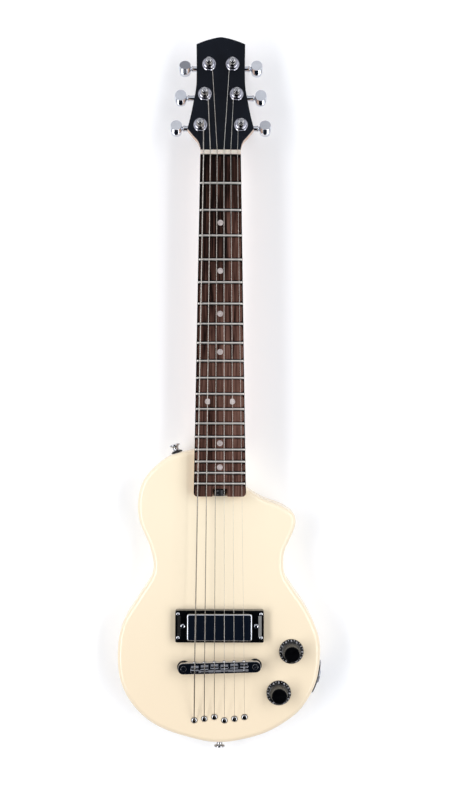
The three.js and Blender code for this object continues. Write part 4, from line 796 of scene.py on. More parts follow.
def cross_head(radius, height):
    """A low domed screw head on z = 0 with a cross recess."""
    steps = 6
    dome = [(0, -0.2), (radius, -0.2)]
    for i in range(steps):
        angle = pi / 2 * i / steps
        dome.append((radius * cos(angle) ** 0.6, height * (0.25 + 0.75 * sin(angle))))
    dome.append((0, height))
    arm, width = 1.15 * radius, 0.26 * radius
    depth = (height * (1 - CROSS_RECESS), height + OVERRUN)
    arms = [block(span(arm), span(width), depth), block(span(width), span(arm), depth)]
    return carved(turned(dome, 28), *arms)


def cross_screw(radius, height, shank_radius, shank_length, sides=20):
    return joined(cross_head(radius, height), rod(shank_radius, -shank_length, 0.1, sides))


def slot_head(radius, height, width):
    side = [(radius, 0), (radius, height * 0.55), (radius * 0.93, height * 0.85), (radius * 0.8, height)]
    slot = block(span(2 * radius + OVERRUN), span(width), (height * 0.45, height + OVERRUN))
    return carved(turned([(0, 0), *side, (0, height)], 32), slot)


# Curves and places

def centripetal(controls, steps):
    """Points on a centripetal Catmull-Rom curve through the controls, with steps in each stretch."""
    controls = [Vector((x, y, 0)) for x, y in controls]
    ends = [2 * controls[0] - controls[1], *controls, 2 * controls[-1] - controls[-2]]
    points = []
    for a, b, c, d in zip(ends, ends[1:], ends[2:], ends[3:]):
        spans = [sqrt((q - p).length) for p, q in ((a, b), (b, c), (c, d))]
        first = ((b - a) / spans[0] - (c - a) / (spans[0] + spans[1]) + (c - b) / spans[1]) * spans[1]
        second = ((c - b) / spans[1] - (d - b) / (spans[1] + spans[2]) + (d - c) / spans[2]) * spans[1]
        for i in range(steps):
            t = i / steps
            square = -3 * b + 3 * c - 2 * first - second
            cube = 2 * b - 2 * c + first + second
            points.append(b + first * t + square * t * t + cube * t ** 3)
    return points + [controls[-1]]


BODY_EDGE = centripetal(
    [(x * BODY_HALF_WIDTH, y * BODY_LENGTH - TAIL_LENGTH) for x, y in BODY_OUTLINE_SHARES], OUTLINE_STEPS,
)


def edge_near(x, y):
    target = Vector((x, y, 0))
    best = min(range(1, len(BODY_EDGE) - 1), key=lambda i: (BODY_EDGE[i] - target).length)
    along = (BODY_EDGE[best + 1] - BODY_EDGE[best - 1]).normalized()
    return BODY_EDGE[best], Vector((along.y, -along.x, 0))


def shoulder_place():
    lengths = [(b - a).length for a, b in zip(BODY_EDGE, BODY_EDGE[1:])]
    left = STRAP_SHOULDER_SHARE * sum(lengths)
    for point, length in zip(BODY_EDGE, lengths):
        if left < length:
            return point
        left -= length
    return BODY_EDGE[-1]


def half_width_at(y):
    share = (y - BOARD_END) / (SCALE_LENGTH - BOARD_END)
    return (BOARD_END_WIDTH + (NUT_WIDTH - BOARD_END_WIDTH) * share) / 2


def string_across(spread, number):
    return spread * (number / (len(STRING_NAMES) - 1) - 0.5)


def fret_place(number):
    return SCALE_LENGTH * 2 ** (-number / 12)


def board_height(x):
    return BOARD_TOP - x * x / (2 * BOARD_ARCH_RADIUS)


# Body

def body_outline():
    edge = [(point.x, point.y) for point in BODY_EDGE]
    return edge + [(HEEL_HALF_WIDTH, edge[-1][1] + HEEL_FILLET), (HEEL_HALF_WIDTH, edge[0][1])]


def board_outline(grown, far_end):
    near, corner = BOARD_END - grown, BOARD_CORNER + grown
    half = half_width_at(near) + grown
    outline = [(-half_width_at(far_end) - grown, far_end)]
    outline += arc(-half + corner, near + corner, corner, 180, 270, 8)
    outline += arc(half - corner, near + corner, corner, 270, 360, 8)
    return outline + [(half_width_at(far_end) + grown, far_end)]


def capsule(radius):
    to, start = Vector(KNOB_PLACES["volume"]), Vector(KNOB_PLACES["tone"])
    lean = degrees(atan2(to.y - start.y, to.x - start.x))
    far_end = arc(to.x, to.y, radius, lean - 90, lean + 90, 24)
    return far_end + arc(start.x, start.y, radius, lean + 90, lean + 270, 24)


def cover_screw_places():
    to, start = Vector(KNOB_PLACES["volume"]), Vector(KNOB_PLACES["tone"])
    lean = atan2(to.y - start.y, to.x - start.x)
    reach = CAVITY_RADIUS + COVER_LIP / 2
    ends = [(to, -pi / 6), (to, pi / 2), (start, pi), (start, -pi / 2)]
    return [(c.x + reach * cos(lean + a), c.y + reach * sin(lean + a)) for c, a in ends]


def neck_bolt_places():
    across, along = NECK_BOLT_PITCHES
    return [(x, NECK_PLATE_PLACE + y) for x in span(across) for y in span(along)]


def block_centre():
    return -(max(FERRULE_PLACES) + min(FERRULE_PLACES)) / 2


def ring_screw_places():
    return [(x, PICKUP_PLACE + y) for x in span(RING_SCREW_SPREAD) for y in span(RING_SCREW_PITCH)]


def seat_matrix(point, out):
    """Take a shape that stands on z = 0 to the body's edge, facing out."""
    return shift(point.x, point.y, BODY_DEPTH / 2) @ turn("Z", degrees(atan2(out.y, out.x))) @ turn("Y", 90)


def make_body():
    shell = soft_plate(body_outline(), 0, BODY_DEPTH, BODY_EDGE_ROUND, BODY_EDGE_ROUND, 10)
    above = BODY_DEPTH + OVERRUN
    well = span(PICKUP_COVER_SIZE[1] + 4 * GAP, PICKUP_PLACE + PICKUP_COVER_SHIFT)
    ears = span(EAR_SIZE[1] + 4 * GAP, PICKUP_PLACE)
    seat = rounded_rectangle(BLOCK_SIZE[0] + 2 * GAP, BLOCK_SIZE[1] + 2 * GAP, BLOCK_SIZE[1] / 2)
    tools = [
        slab(board_outline(GAP, TENON_END + OVERRUN), POCKET_FLOOR, above),
        block(span(PICKUP_COVER_SIZE[0] + 4 * GAP), well, (PICKUP_WELL_FLOOR, above)),
        block(span(EAR_SIZE[0] + 4 * GAP), ears, (PICKUP_WELL_FLOOR, above)),
        slab(capsule(CAVITY_RADIUS + COVER_LIP + GAP), -OVERRUN, BACK_RECESS),
        slab(capsule(CAVITY_RADIUS), -OVERRUN, CONTROL_CEILING),
    ]
    for x in span(POST_SPREAD):
        tools.append(rod(STUD_RADIUS + GAP, -STUD_BORE_DEPTH, OVERRUN).moved(BRIDGE, shift(x)))
    tools.append(slab(seat, -OVERRUN, BLOCK_SIZE[2] + GAP).at(0, block_centre()))
    for i, along in enumerate(FERRULE_PLACES):
        tools.append(rod(FERRULE_RADIUS + GAP, 1, above).at(string_across(FERRULE_SPREAD, i), -along))
    for x, y in KNOB_PLACES.values():
        tools.append(rod(POT_BORE_RADIUS, CONTROL_CEILING - OVERRUN, above).at(x, y))
    for x, y in cover_screw_places():
        tools.append(rod(COVER_SCREW_RADIUS + GAP, 1, BACK_RECESS + COVER_SCREW_BORE_DEPTH).at(x, y))
    point, out = edge_near(*JACK_PLACE)
    tools.append(rod(JACK_BARREL_RADIUS + GAP, -JACK_BORE_DEPTH, OVERRUN).moved(seat_matrix(point, out)))
    for point, out in strap_seats():
        tools.append(rod(STRAP_SCREW_RADIUS + GAP, -STRAP_BORE_DEPTH, OVERRUN).moved(seat_matrix(point, out)))
    seat = rounded_rectangle(NECK_PLATE_SIZE[0] + 2 * GAP, NECK_PLATE_SIZE[1] + 2 * GAP, NECK_PLATE_CORNER)
    tools.append(slab(seat, -OVERRUN, NECK_PLATE_TOP + GLUE_LINE).at(0, NECK_PLATE_PLACE))
    for x, y in neck_bolt_places():
        tools.append(rod(NECK_BOLT_RADIUS + GAP, 1, POCKET_FLOOR + OVERRUN).at(x, y))
    place("body_shell", carved(shell, *tools), "body_cream", stands_for=["body"])


# Neck, fretboard, frets, dots, nut and headstock

def neck_section(y, depth, roundness, steps=26):
    half = half_width_at(y)
    ring = []
    for i in range(steps + 1):
        cosine, sine = cos(pi * i / steps), sin(pi * i / steps)
        across = copysign(abs(cosine) ** roundness, cosine)
        ring.append(Vector((half * across, y, NECK_TOP - depth * max(sine, 0) ** roundness)))
    return ring


def neck_shaft():
    tenon_depth = NECK_TOP - POCKET_FLOOR - GAP
    rings = []
    for (near, thin, form), (far, thinner, rounder) in zip(HEEL_STATIONS, HEEL_STATIONS[1:]):
        for i in range(5):
            share = i / 5
            depth = tenon_depth + (NECK_DEPTH_AT_BODY - tenon_depth) * (thin + (thinner - thin) * share)
            y = TENON_END + HEEL_RUN * (near + (far - near) * share)
            rings.append(neck_section(y, depth, form + (rounder - form) * share))
    start, end = TENON_END + HEEL_RUN, SCALE_LENGTH - HEEL_RUN
    for i in range(9):
        depth = NECK_DEPTH_AT_BODY + (NECK_DEPTH_AT_NUT - NECK_DEPTH_AT_BODY) * i / 8
        rings.append(neck_section(start + (end - start) * i / 8, depth, SHAFT_ROUNDNESS))
    for i in range(1, 7):
        share = i / 6
        y = end + (NUT_BACK - end) * share
        depth = NECK_DEPTH_AT_NUT + (HEAD_THICKNESS - NECK_DEPTH_AT_NUT) * share ** 4
        rings.append(neck_section(y, depth, SHAFT_ROUNDNESS - 0.45 * share ** 2))
    return loft(rings)


def head_outline():
    def curve(shares):
        return centripetal([(x * HEAD_HALF_WIDTH, y * HEAD_LENGTH) for x, y in shares], 6)

    side = curve(HEAD_SIDE_SHARES)
    corner, (bx, by), (cx, cy) = side[-1], *HEAD_CROWN_SHARES
    crown = []
    for i in range(1, 15):
        t = i / 14
        x = corner.x * (1 - t) ** 2 + 2 * bx * HEAD_HALF_WIDTH * t * (1 - t) + cx * HEAD_HALF_WIDTH * t * t
        y = corner.y * (1 - t) ** 2 + 2 * by * HEAD_LENGTH * t * (1 - t) + cy * HEAD_LENGTH * t * t
        crown.append((x, y))
    treble = [(point.x, point.y) for point in curve(HEAD_THROAT_SHARES) + side[1:]] + crown
    return treble + [(-x, y) for x, y in treble[-2::-1]]


def post_holes():
    bottom = -HEAD_THICKNESS - OVERRUN
    return [rod(BUSHING_RADIUS + GAP, bottom, OVERRUN).at(s * x, y) for s, x, y in POST_PLACES]


def truss_notch(bottom, top):
    along = (BOARD_END - OVERRUN, BOARD_END + TRUSS_NOTCH[1])
    return block(span(TRUSS_NOTCH[0]), along, (bottom, top))


def make_neck():
    wood_top = -VENEER_THICKNESS - GLUE_LINE
    tenon = slab(board_outline(0, TENON_END), POCKET_FLOOR + GAP, NECK_TOP)
    plank = soft_plate(head_outline(), -HEAD_THICKNESS, wood_top, HEAD_EDGE_ROUND, 0, 4).moved(HEAD)
    tongue = block(*map(span, HEAD_TONGUE), (-HEAD_THICKNESS, wood_top - GAP)).moved(HEAD)
    notch = truss_notch(TRUSS_AXIS - TRUSS_WHEEL_RADIUS - GAP, NECK_TOP + OVERRUN)
    bore = rod(TRUSS_STUB_RADIUS + GAP, 0, TRUSS_BORE_LENGTH)
    bore = bore.moved(shift(0, BOARD_END + TRUSS_NOTCH[1] - GAP, TRUSS_AXIS), turn("X", -90))
    holes = [hole.moved(HEAD) for hole in post_holes()]
    bolt = rod(NECK_BOLT_RADIUS + GAP, POCKET_FLOOR - OVERRUN, POCKET_FLOOR + NECK_BOLT_BITE)
    bolts = [bolt.at(x, y) for x, y in neck_bolt_places()]
    wood = joined(neck_shaft(), tenon, plank, tongue)
    shape = carved(wood, notch, bore, *holes, *bolts)
    place("neck_wood", shape, "neck_maple", stands_for=["neck"])


def board_section(y, half, edge=0.5, steps=14):
    """One section of the fretboard: flat below, arched above, with softened upper edges."""
    side, low = board_height(half), NECK_TOP + GLUE_LINE
    rise = [(half, low), (half, side - edge), (half - edge * 0.3, side - edge * 0.3)]
    across = [(half - edge) * (1 - 2 * i / steps) for i in range(steps + 1)]
    crown = [(x, board_height(x)) for x in across]
    return [Vector((x, y, z)) for x, z in rise + crown + [(-x, z) for x, z in rise[::-1]]]


def make_fretboard():
    rings = []
    for i in range(9):
        ahead = BOARD_CORNER * (1 - cos(pi / 2 * i / 8))
        pulled = BOARD_CORNER * (1 - sin(pi / 2 * i / 8))
        rings.append(board_section(BOARD_END + ahead, half_width_at(BOARD_END + ahead) - pulled))
    rings.append(board_section(SCALE_LENGTH - GLUE_LINE, half_width_at(SCALE_LENGTH)))
    board = carved(loft(rings), truss_notch(NECK_TOP - OVERRUN, BOARD_TOP + OVERRUN))
    place("fretboard_wood", board, "board_rosewood", stands_for=["fretboard"])
    for number in range(1, FRET_COUNT + 1):
        place(f"fret_{number:02d}", fret_bar(number), "fret_nickel", crease=50)
    for number in SINGLE_DOTS + [DOUBLE_DOT]:
        y = (fret_place(number) + fret_place(number - 1)) / 2
        across = span(2 * DOT_SPREAD) if number == DOUBLE_DOT else (0,)
        for side, x in enumerate(across):
            disc = rod(DOT_RADIUS, -1, 0.06, 40, 0.05).at(x, y, board_height(x))
            place(f"dot_{number:02d}_{side + 1}", disc, "inlay_grey")


def fret_bar(number):
    """A fret: a low round crown with rounded ends over a tang that is pressed into the board."""
    y = fret_place(number)
    half = half_width_at(y) - FRET_INSET
    end = [half, half - 0.3, half - FRET_END_RUN]
    rings = []
    for x in [-x for x in end] + [half * k / 8 for k in range(-7, 8)] + end[::-1]:
        near_end = min(half - abs(x), FRET_END_RUN) / FRET_END_RUN
        swell = 0.45 + 0.55 * sqrt(1 - (1 - near_end) ** 2)
        base = board_height(min(abs(x), half - 0.2)) - FRET_SEAT
        reach = FRET_WIDTH / 2 * swell
        ring = []
        for k in range(9):
            angle = pi * k / 8
            height = base + FRET_SEAT + FRET_HEIGHT * swell * sin(angle)
            ring.append(Vector((x, y + reach * cos(angle), height)))
        rings.append(ring + [Vector((x, y - reach, base)), Vector((x, y + reach, base))])
    return loft(rings)


def make_headstock_face():
    sheet = soft_plate(head_outline(), -VENEER_THICKNESS, 0, 0, VENEER_EDGE_ROUND, 3)
    through = (-VENEER_THICKNESS - OVERRUN, OVERRUN)
    behind_nut = block(span(NUT_WIDTH + 2 * OVERRUN), (-OVERRUN, GAP), through)
    shape = carved(sheet, behind_nut, *post_holes()).moved(HEAD)
    place("headstock_face", shape, "headstock_black", stands_for=["headstock_veneer"])


def make_nut():
    half = NUT_WIDTH / 2
    crest = [(half - 0.4, NUT_HEIGHT - 0.5), (half, NUT_HEIGHT - 1.1)]
    outline = [(-half, GLUE_LINE), (half, GLUE_LINE), *crest[::-1]]
    outline += [(x, NUT_HEIGHT - 0.4 * (x / half) ** 2) for x in (16, 8, 0, -8, -16)]
    outline += [(-x, z) for x, z in crest]
    bar = soft_plate(outline, 0, NUT_THICKNESS - GLUE_LINE, 0.3, 0.3, 3).moved(turn("X", 90))
    tools = []
    for i, diameter in enumerate(STRING_DIAMETERS):
        x, wide = string_across(NUT_STRING_SPREAD, i), diameter / 2 + NUT_SLOT_AIR
        axis = NUT_STRING_HEIGHT + wide - NUT_SLOT_AIR
        tools.append(rod(wide, -6, 6, 16).moved(shift(x, 0, axis), turn("X", 90)))
        tools.append(block(span(2 * wide, x), (-6, 6), (axis, 12)))
    shape = carved(bar.at(0, -NUT_THICKNESS / 2 + 4.4), *[tool.at(0, 2) for tool in tools])
    low = min(point.y for point in shape.points)
    shape = shape.at(0, SCALE_LENGTH + GLUE_LINE - low, NECK_TOP)
    place("nut_bar", shape, "nut_bone", stands_for=["nut"])


# Tuners

def make_bushing(name, matrix):
    washer = turned([
        (0, GLUE_LINE), (WASHER_RADIUS - 0.2, GLUE_LINE), (WASHER_RADIUS, 0.35), (WASHER_RADIUS, 0.6),
        (WASHER_RADIUS - 0.5, 0.95), (WASHER_RADIUS - 1, 1), (0, 1),
    ], 64)
    hexagon = rod(HEX_ACROSS_FLATS / sqrt(3), 0.9, HEX_TOP, 6)
    crown = turned([(0, 0.8), (7, 0.8), (6.2, 2.6), (5.35, HEX_TOP - 0.25), (4.9, HEX_TOP), (0, HEX_TOP)], 64)
    sleeve = rod(BUSHING_RADIUS, -HEAD_THICKNESS + GAP, 1)
    chamfered = combined(hexagon, [crown], "INTERSECT")
    dish = turned([(0, HEX_TOP - 0.6), (3.5, HEX_TOP - 0.6), (4.3, HEX_TOP + 1), (0, HEX_TOP + 1)], 48)
    bore = rod(POST_RADIUS + 0.25, -16, 6)
    shape = carved(joined(washer, sleeve, chamfered), dish, bore)
    # the bushings take the darker chrome as painted shade
    place(
        f"tuner_bushing_piece_{name}", shape.moved(matrix), "bushing_shaded_chrome",
        stands_for=[f"tuner_bushing_{name}"], crease=16,
    )


def winding_of(number):
    side, across, along = POST_PLACES[number]
    diameter = STRING_DIAMETERS[number]
    radius = POST_WAIST_RADIUS + GAP + diameter / 2
    return radius, diameter + WINDING_AIR, -side, Vector((side * across, along, 0))


def nut_exit(number):
    x = string_across(NUT_STRING_SPREAD, number)
    return HEAD.inverted() @ Vector((x, NUT_BACK, NUT_SEAT + STRING_DIAMETERS[number] / 2))


def winding_start(number):
    radius, _, way, centre = winding_of(number)
    leaving = nut_exit(number) - centre
    return atan2(leaving.y, leaving.x) + way * acos(radius / hypot(leaving.x, leaving.y))


def on_winding(number, angle, height):
    radius, _, _, centre = winding_of(number)
    return centre + Vector((radius * cos(angle), radius * sin(angle), height))


def winding_entry(number):
    """The bend from the last loop into the post's hole, and the angle of that hole."""
    radius, _, way, centre = winding_of(number)
    last = winding_start(number) + way * 2 * pi * WINDING_LOOPS
    start = on_winding(number, last, POST_HOLE_HEIGHT)
    inward = Vector((-cos(last), -sin(last), 0))
    along = Vector((inward.y, -inward.x, 0)) * way
    sweep = acos(-WINDING_BEND / (radius - WINDING_BEND))
    points = []
    for i in range(1, 9):
        angle = sweep * i / 8
        ahead = along * WINDING_BEND * sin(angle)
        points.append(start + ahead + inward * WINDING_BEND * (1 - cos(angle)))
    end = points[-1] - centre
    return points, atan2(end.y, end.x)


def make_post(number, name, matrix):
    root, tip = GEAR_RADII
    teeth = toothed(GEAR_TEETH, [(0, root), (0.25, tip), (0.5, tip), (0.75, root)])
    wheel = soft_plate(teeth, *GEAR_LEVELS, 0.2, 0.2, 2)
    low, high, top = HEX_TOP + 0.1, POST_HOLE_HEIGHT + 1.4, POST_HEIGHT
    waist = []
    for k in range(9):
        flare = 0.5 * (1 - sin(pi * k / 8)) ** 2
        waist.append((POST_WAIST_RADIUS + flare, low + (high - low) * k / 8))
    shaft = turned([
        (0, POST_FOOT), (POST_RADIUS, POST_FOOT), (POST_RADIUS, low - 0.2), *waist,
        (POST_RADIUS, high + 0.25), (POST_RADIUS, top - 0.8), (POST_RADIUS - 0.2, top - 0.35),
        (POST_RADIUS - 0.7, top), (1.1, top), (0.8, top - 0.5), (0, top - 0.6),
    ], 40)
    _, angle = winding_entry(number)
    hole = rod(0.95, -5, 5, 24).moved(turn("Y", 90))
    hole = hole.moved(shift(0, 0, POST_HOLE_HEIGHT), turn("Z", degrees(angle)))
    shape = carved(joined(shaft, wheel), hole).moved(matrix)
    place(
        f"tuner_post_piece_{name}", shape, "shadowed_chrome", f"post_{name}", [f"tuner_post_{name}"],
    )


def make_housing(name, side, matrix):
    length, width, depth = HOUSING_SIZE
    top = -HEAD_THICKNESS - GAP
    low = top - depth
    corner, inner_length, inner_width = HOUSING_CORNER, length - 2 * HOUSING_WALL, width - 2 * HOUSING_WALL
    case = soft_plate(rounded_rectangle(length, width, corner), low, top, 1.2, 0.3, 4).at(0, HOUSING_SHIFT)
    lid_line = slab(rounded_rectangle(length + 1, width + 1, corner + 0.2), low + 2.6, low + 2.9)
    core = slab(rounded_rectangle(length - 0.6, width - 0.6, corner - 0.2), low + 2, low + 4)
    groove = carved(lid_line, core).at(0, HOUSING_SHIFT)
    levels = (low + HOUSING_WALL, top - HOUSING_WALL)
    inside = block(span(inner_length), span(inner_width, HOUSING_SHIFT), levels)
    tab = soft_plate(rounded_rectangle(6.4, 6.4, 3), top - 1.8, top, 0.3, 0, 2).at(0, -8.6)
    screw = cross_head(2.3, 1.2).moved(shift(0, -9.4, top - 1.8), turn("X", 180))
    boss = turned([
        (0, 7.5), (4.2, 7.5), (4.2, 9.6), (3.4, 10.4), (3.1, 13), (3.1, 16.6), (3.4, 17), (3.4, 18.2),
        (3.1, BOSS_REACH), (0, BOSS_REACH),
    ], 40)
    bore = rod(SHAFT_RADIUS + 0.25, 0, BOSS_REACH + 2)
    out = shift(0, WORM_SHIFT, WORM_HEIGHT) @ turn("Y", side * 90)
    post_bore = rod(POST_RADIUS + GAP, top - 4, top + 2)
    shape = carved(joined(case, boss.moved(out), tab), groove, inside, bore.moved(out), post_bore)
    place(f"tuner_housing_piece_{name}", shape.moved(matrix), "chrome", stands_for=[f"tuner_housing_{name}"])
    place(f"tuner_screw_{name}", screw.moved(matrix), "chrome")


def make_button(number, name, side, matrix):
    """A button whose two flat round faces lie off its middle, which leaves a sloping heel beside each."""
    length, width, thickness = BUTTON_SIZE
    face_radius = length / 2 - 0.45
    rings = []
    for way in (-1, 1):
        for share, into_face in (BUTTON_LEVELS[::-1] if way < 0 else BUTTON_LEVELS[1:]):
            rx = length / 2 - 0.55 * into_face
            ry = width / 2 + (face_radius - width / 2) * into_face
            offset = way * (width / 2 - length / 2 - 0.2) * into_face
            z = way * thickness / 2 * share
            rings.append([Vector((x * rx, y * ry + offset, z)) for x, y in circle(1, 56)])
    grip = loft(rings).at(side * BUTTON_REACH)
    end = BUTTON_REACH - 4
    profile = [(0, -4.8), (SHAFT_RADIUS, -4.8), (SHAFT_RADIUS, 18.8), (2.4, 19.3), (2.4, end), (0, end)]
    shaft = turned(profile, 32)
    turns = [2 * pi * i / 12 for i in range(61)]
    thread = [Vector((1.9 * cos(angle), 1.9 * sin(angle), -4 + 8 * i / 60)) for i, angle in enumerate(turns)]
    worm = tube(thread, [0.4] * len(thread), 8)
    shape = joined(grip, joined(shaft, worm).moved(turn("Y", side * 90)))
    shape = shape.moved(matrix @ shift(0, WORM_SHIFT, WORM_HEIGHT) @ turn("X", BUTTON_RESTS[number]))
    place(f"tuner_button_piece_{name}", shape, "chrome", f"button_{name}", [f"tuner_button_{name}"])


def make_tuners():
    for number, (name, (side, across, along)) in enumerate(zip(STRING_NAMES, POST_PLACES)):
        matrix = HEAD @ shift(side * across, along)
        make_bushing(name, matrix)
        make_post(number, name, matrix)
        make_housing(name, side, matrix)
        make_button(number, name, side, matrix)


# Strings: each is four parts from ferrule to nut, which stay fixed where they are made, and a winding on its
# post

def spaced(points, pitch):
    """Points along a path at an even pitch, with its corners kept."""
    path = [points[0]]
    for a, b in zip(points, points[1:]):
        count = max(1, round((b - a).length / pitch))
        path.extend(a.lerp(b, k / count) for k in range(1, count + 1))
    return path


def string_tube(points, number):
    radius = STRING_DIAMETERS[number] / 2
    if number < WOUND_STRINGS:
        path = spaced(points, RIDGE_PITCH / 2)
        radii = [radius * (1 - RIDGE_DEPTH_SHARE * (i % 2)) for i in range(len(path))]
        return tube(path, radii, 8)
    path = spaced(points, 6)
    return tube(path, [radius] * len(path), 10)


def saddle_contact(number):
    x = string_across(SADDLE_SPREAD, number)
    crest = BRIDGE @ Vector((x, SADDLE_OFFSETS[number], 0))
    return Vector((crest.x, crest.y, BODY_DEPTH + SADDLE_CREST + GAP + STRING_DIAMETERS[number] / 2))


def make_string(number, name):
    look = "steel_wound" if number < WOUND_STRINGS else "steel_plain"
    x, y = string_across(FERRULE_SPREAD, number), -FERRULE_PLACES[number]
    mouth = BODY_DEPTH + FERRULE_RISE + GAP + STRING_DIAMETERS[number] / 2
    contact = saddle_contact(number)
    bend = FERRULE_BORE_RADIUS
    rise = Vector((x, y, mouth - bend / 2))
    over = Vector((x, y, mouth + bend / 8)).lerp(contact, bend / (contact.y - y))
    turn_over = rise.lerp(over, 0.5)
    turn_over.y = y + bend / 4
    behind = contact + (over - contact).normalized() * STRING_REACH_BEHIND
    tail = string_tube([Vector((x, y, 2.2)), rise, turn_over, over, behind], number)
    angles = [pi * k / 10 for k in range(1, 10)]
    bulge = [(BALL_RADIUS * sin(angle), -BALL_RADIUS * cos(angle)) for angle in angles]
    ball = turned([(0, -BALL_RADIUS), *bulge, (0, BALL_RADIUS)], 24)
    tail = joined(tail, ball.at(x, y, 2.6))
    _, pitch, way, centre = winding_of(number)
    start, loops = winding_start(number), []
    steps = round(WINDING_LOOPS * WINDING_STEPS)
    first = POST_HOLE_HEIGHT - pitch * WINDING_LOOPS
    for i in range(-4, 0):
        loops.append(on_winding(number, start + way * radians(WINDING_SPARE) * i / 4, first))
    for i in range(steps + 1):
        turns = WINDING_LOOPS * i / steps
        loops.append(on_winding(number, start + way * 2 * pi * turns, first + pitch * turns))
    entry, angle = winding_entry(number)
    through = Vector((cos(angle), sin(angle), 0))
    hub = centre + Vector((0, 0, POST_HOLE_HEIGHT))
    coil = [HEAD @ point for point in loops + entry + [hub, hub - through * (POST_RADIUS + 2.2)]]
    exit_point, touch = HEAD @ nut_exit(number), HEAD @ on_winding(number, start, first)
    nut_front = exit_point.copy()
    nut_front.y = SCALE_LENGTH
    ahead = contact + (nut_front - contact).normalized() * STRING_REACH_AHEAD
    length = string_tube([ahead, nut_front, exit_point, touch], number)
    saddle = f"saddle_{name}"
    blended = [
        (f"string_{name}_tail", tail, "root", "bridge", over, behind),
        (f"string_{name}_behind", string_tube([behind, contact], number), "bridge", saddle, behind, contact),
        (f"string_{name}_ahead", string_tube([contact, ahead], number), saddle, "bridge", contact, ahead),
        (f"string_{name}_length", length, "bridge", "root", ahead, nut_front),
    ]
    for label, shape, first_body, second_body, begin, end in blended:
        piece = place(label, shape, look, None, [f"string_{name}"], 60)
        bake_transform(piece)
    winding = string_tube(coil, number)
    place(f"string_{name}_winding", winding, look, f"post_{name}", [f"string_{name}"], 60)


def make_strings():
    for number, name in enumerate(STRING_NAMES):
        make_string(number, name)


# Pickup with its ring and screws

def make_pickup():
    low = PICKUP_TOP - PICKUP_COVER_DEPTH
    outline = rounded_rectangle(*PICKUP_COVER_SIZE, PICKUP_COVER_ROUND)
    can = soft_plate(outline, low, PICKUP_TOP, 0.3, 1.3, 6).at(0, PICKUP_COVER_SHIFT)
    ears = slab(rounded_rectangle(*EAR_SIZE, 2), low, low + 2)
    taps = [rod(HEIGHT_SCREW_RADIUS + GAP, low - 2, low + 4, 24).at(x) for x in span(EAR_SPREAD)]
    shape = carved(joined(can, ears), *taps).at(0, PICKUP_PLACE)
    place("pickup_cover", shape, "chrome", "pickup", ["pickup"])


def make_pickup_ring():
    bottom, top = BODY_DEPTH + GLUE_LINE, BODY_DEPTH + RING_HEIGHT
    length, width = RING_SIZE
    edge = [(0.25, top - 0.4), (0.4, top - 0.12), (0.7, top)]
    levels = [(0.2, bottom), (0, bottom + 0.3), (0, bottom + 4), *edge]
    frame = plate(rounded_rectangle(length, width, 1.9), levels).at(0, RING_SHIFT)
    inner, outer = RING_SLOPE_RUN
    dropped, above = top - RING_SLOPE_DROP, top + 4
    profile = [(inner, top + 0.02), (outer, dropped), (50, dropped), (50, above), (inner, above)]
    slopes = []
    for side in (-1, 1):
        wedge = slab([(side * x, z) for x, z in profile], -width / 2 + 5.9, width / 2 - 5.9)
        slopes.append(wedge.moved(shift(0, RING_SHIFT), turn("X", 90)))
    outline = rounded_rectangle(PICKUP_COVER_SIZE[0] + 0.8, PICKUP_COVER_SIZE[1] + 0.8, PICKUP_COVER_ROUND)
    window = plate(outline, [(0, bottom - 2), (0, top - 0.5), (-0.5, top), (-0.5, top + 2)])
    window = window.at(0, PICKUP_COVER_SHIFT)
    hollow = block(span(EAR_SIZE[0] + 1.2), span(EAR_SIZE[1] + 1.2), (bottom - 2, bottom + 4.5))
    lift = rod(HEIGHT_SCREW_RADIUS + GAP, bottom - 2, top + 2, 24)
    lifts = [lift.at(x) for x in span(EAR_SPREAD)]
    wells = [rod(2.0, top - 0.7, top + 2, 28).at(x, y - PICKUP_PLACE) for x, y in ring_screw_places()]
    ring = carved(frame, window, hollow, *lifts, *wells, *slopes).at(0, PICKUP_PLACE)
    place("pickup_ring_frame", ring, "black_plastic", stands_for=["pickup_ring"], crease=10)
    for number, (x, y) in enumerate(ring_screw_places()):
        screw = cross_screw(1.75, 0.9, 1.2, 8).moved(shift(x, y, top - 0.45), turn("Z", 25 + 31 * number))
        place(f"pickup_ring_screw_{number + 1}", screw, "chrome")
    for side, x in zip(SIDES, span(EAR_SPREAD)):
        screw = joined(slot_head(2.3, 1.4, 0.55), rod(HEIGHT_SCREW_RADIUS, -HEIGHT_SCREW_LENGTH, 0.2, 24))
        screw = screw.moved(shift(x, PICKUP_PLACE, top + GAP), turn("Z", 36))
        place(f"pickup_screw_piece_{side}", screw, "chrome", f"pickup_screw_{side}", [f"pickup_screw_{side}"])


# Bridge with its saddles and posts

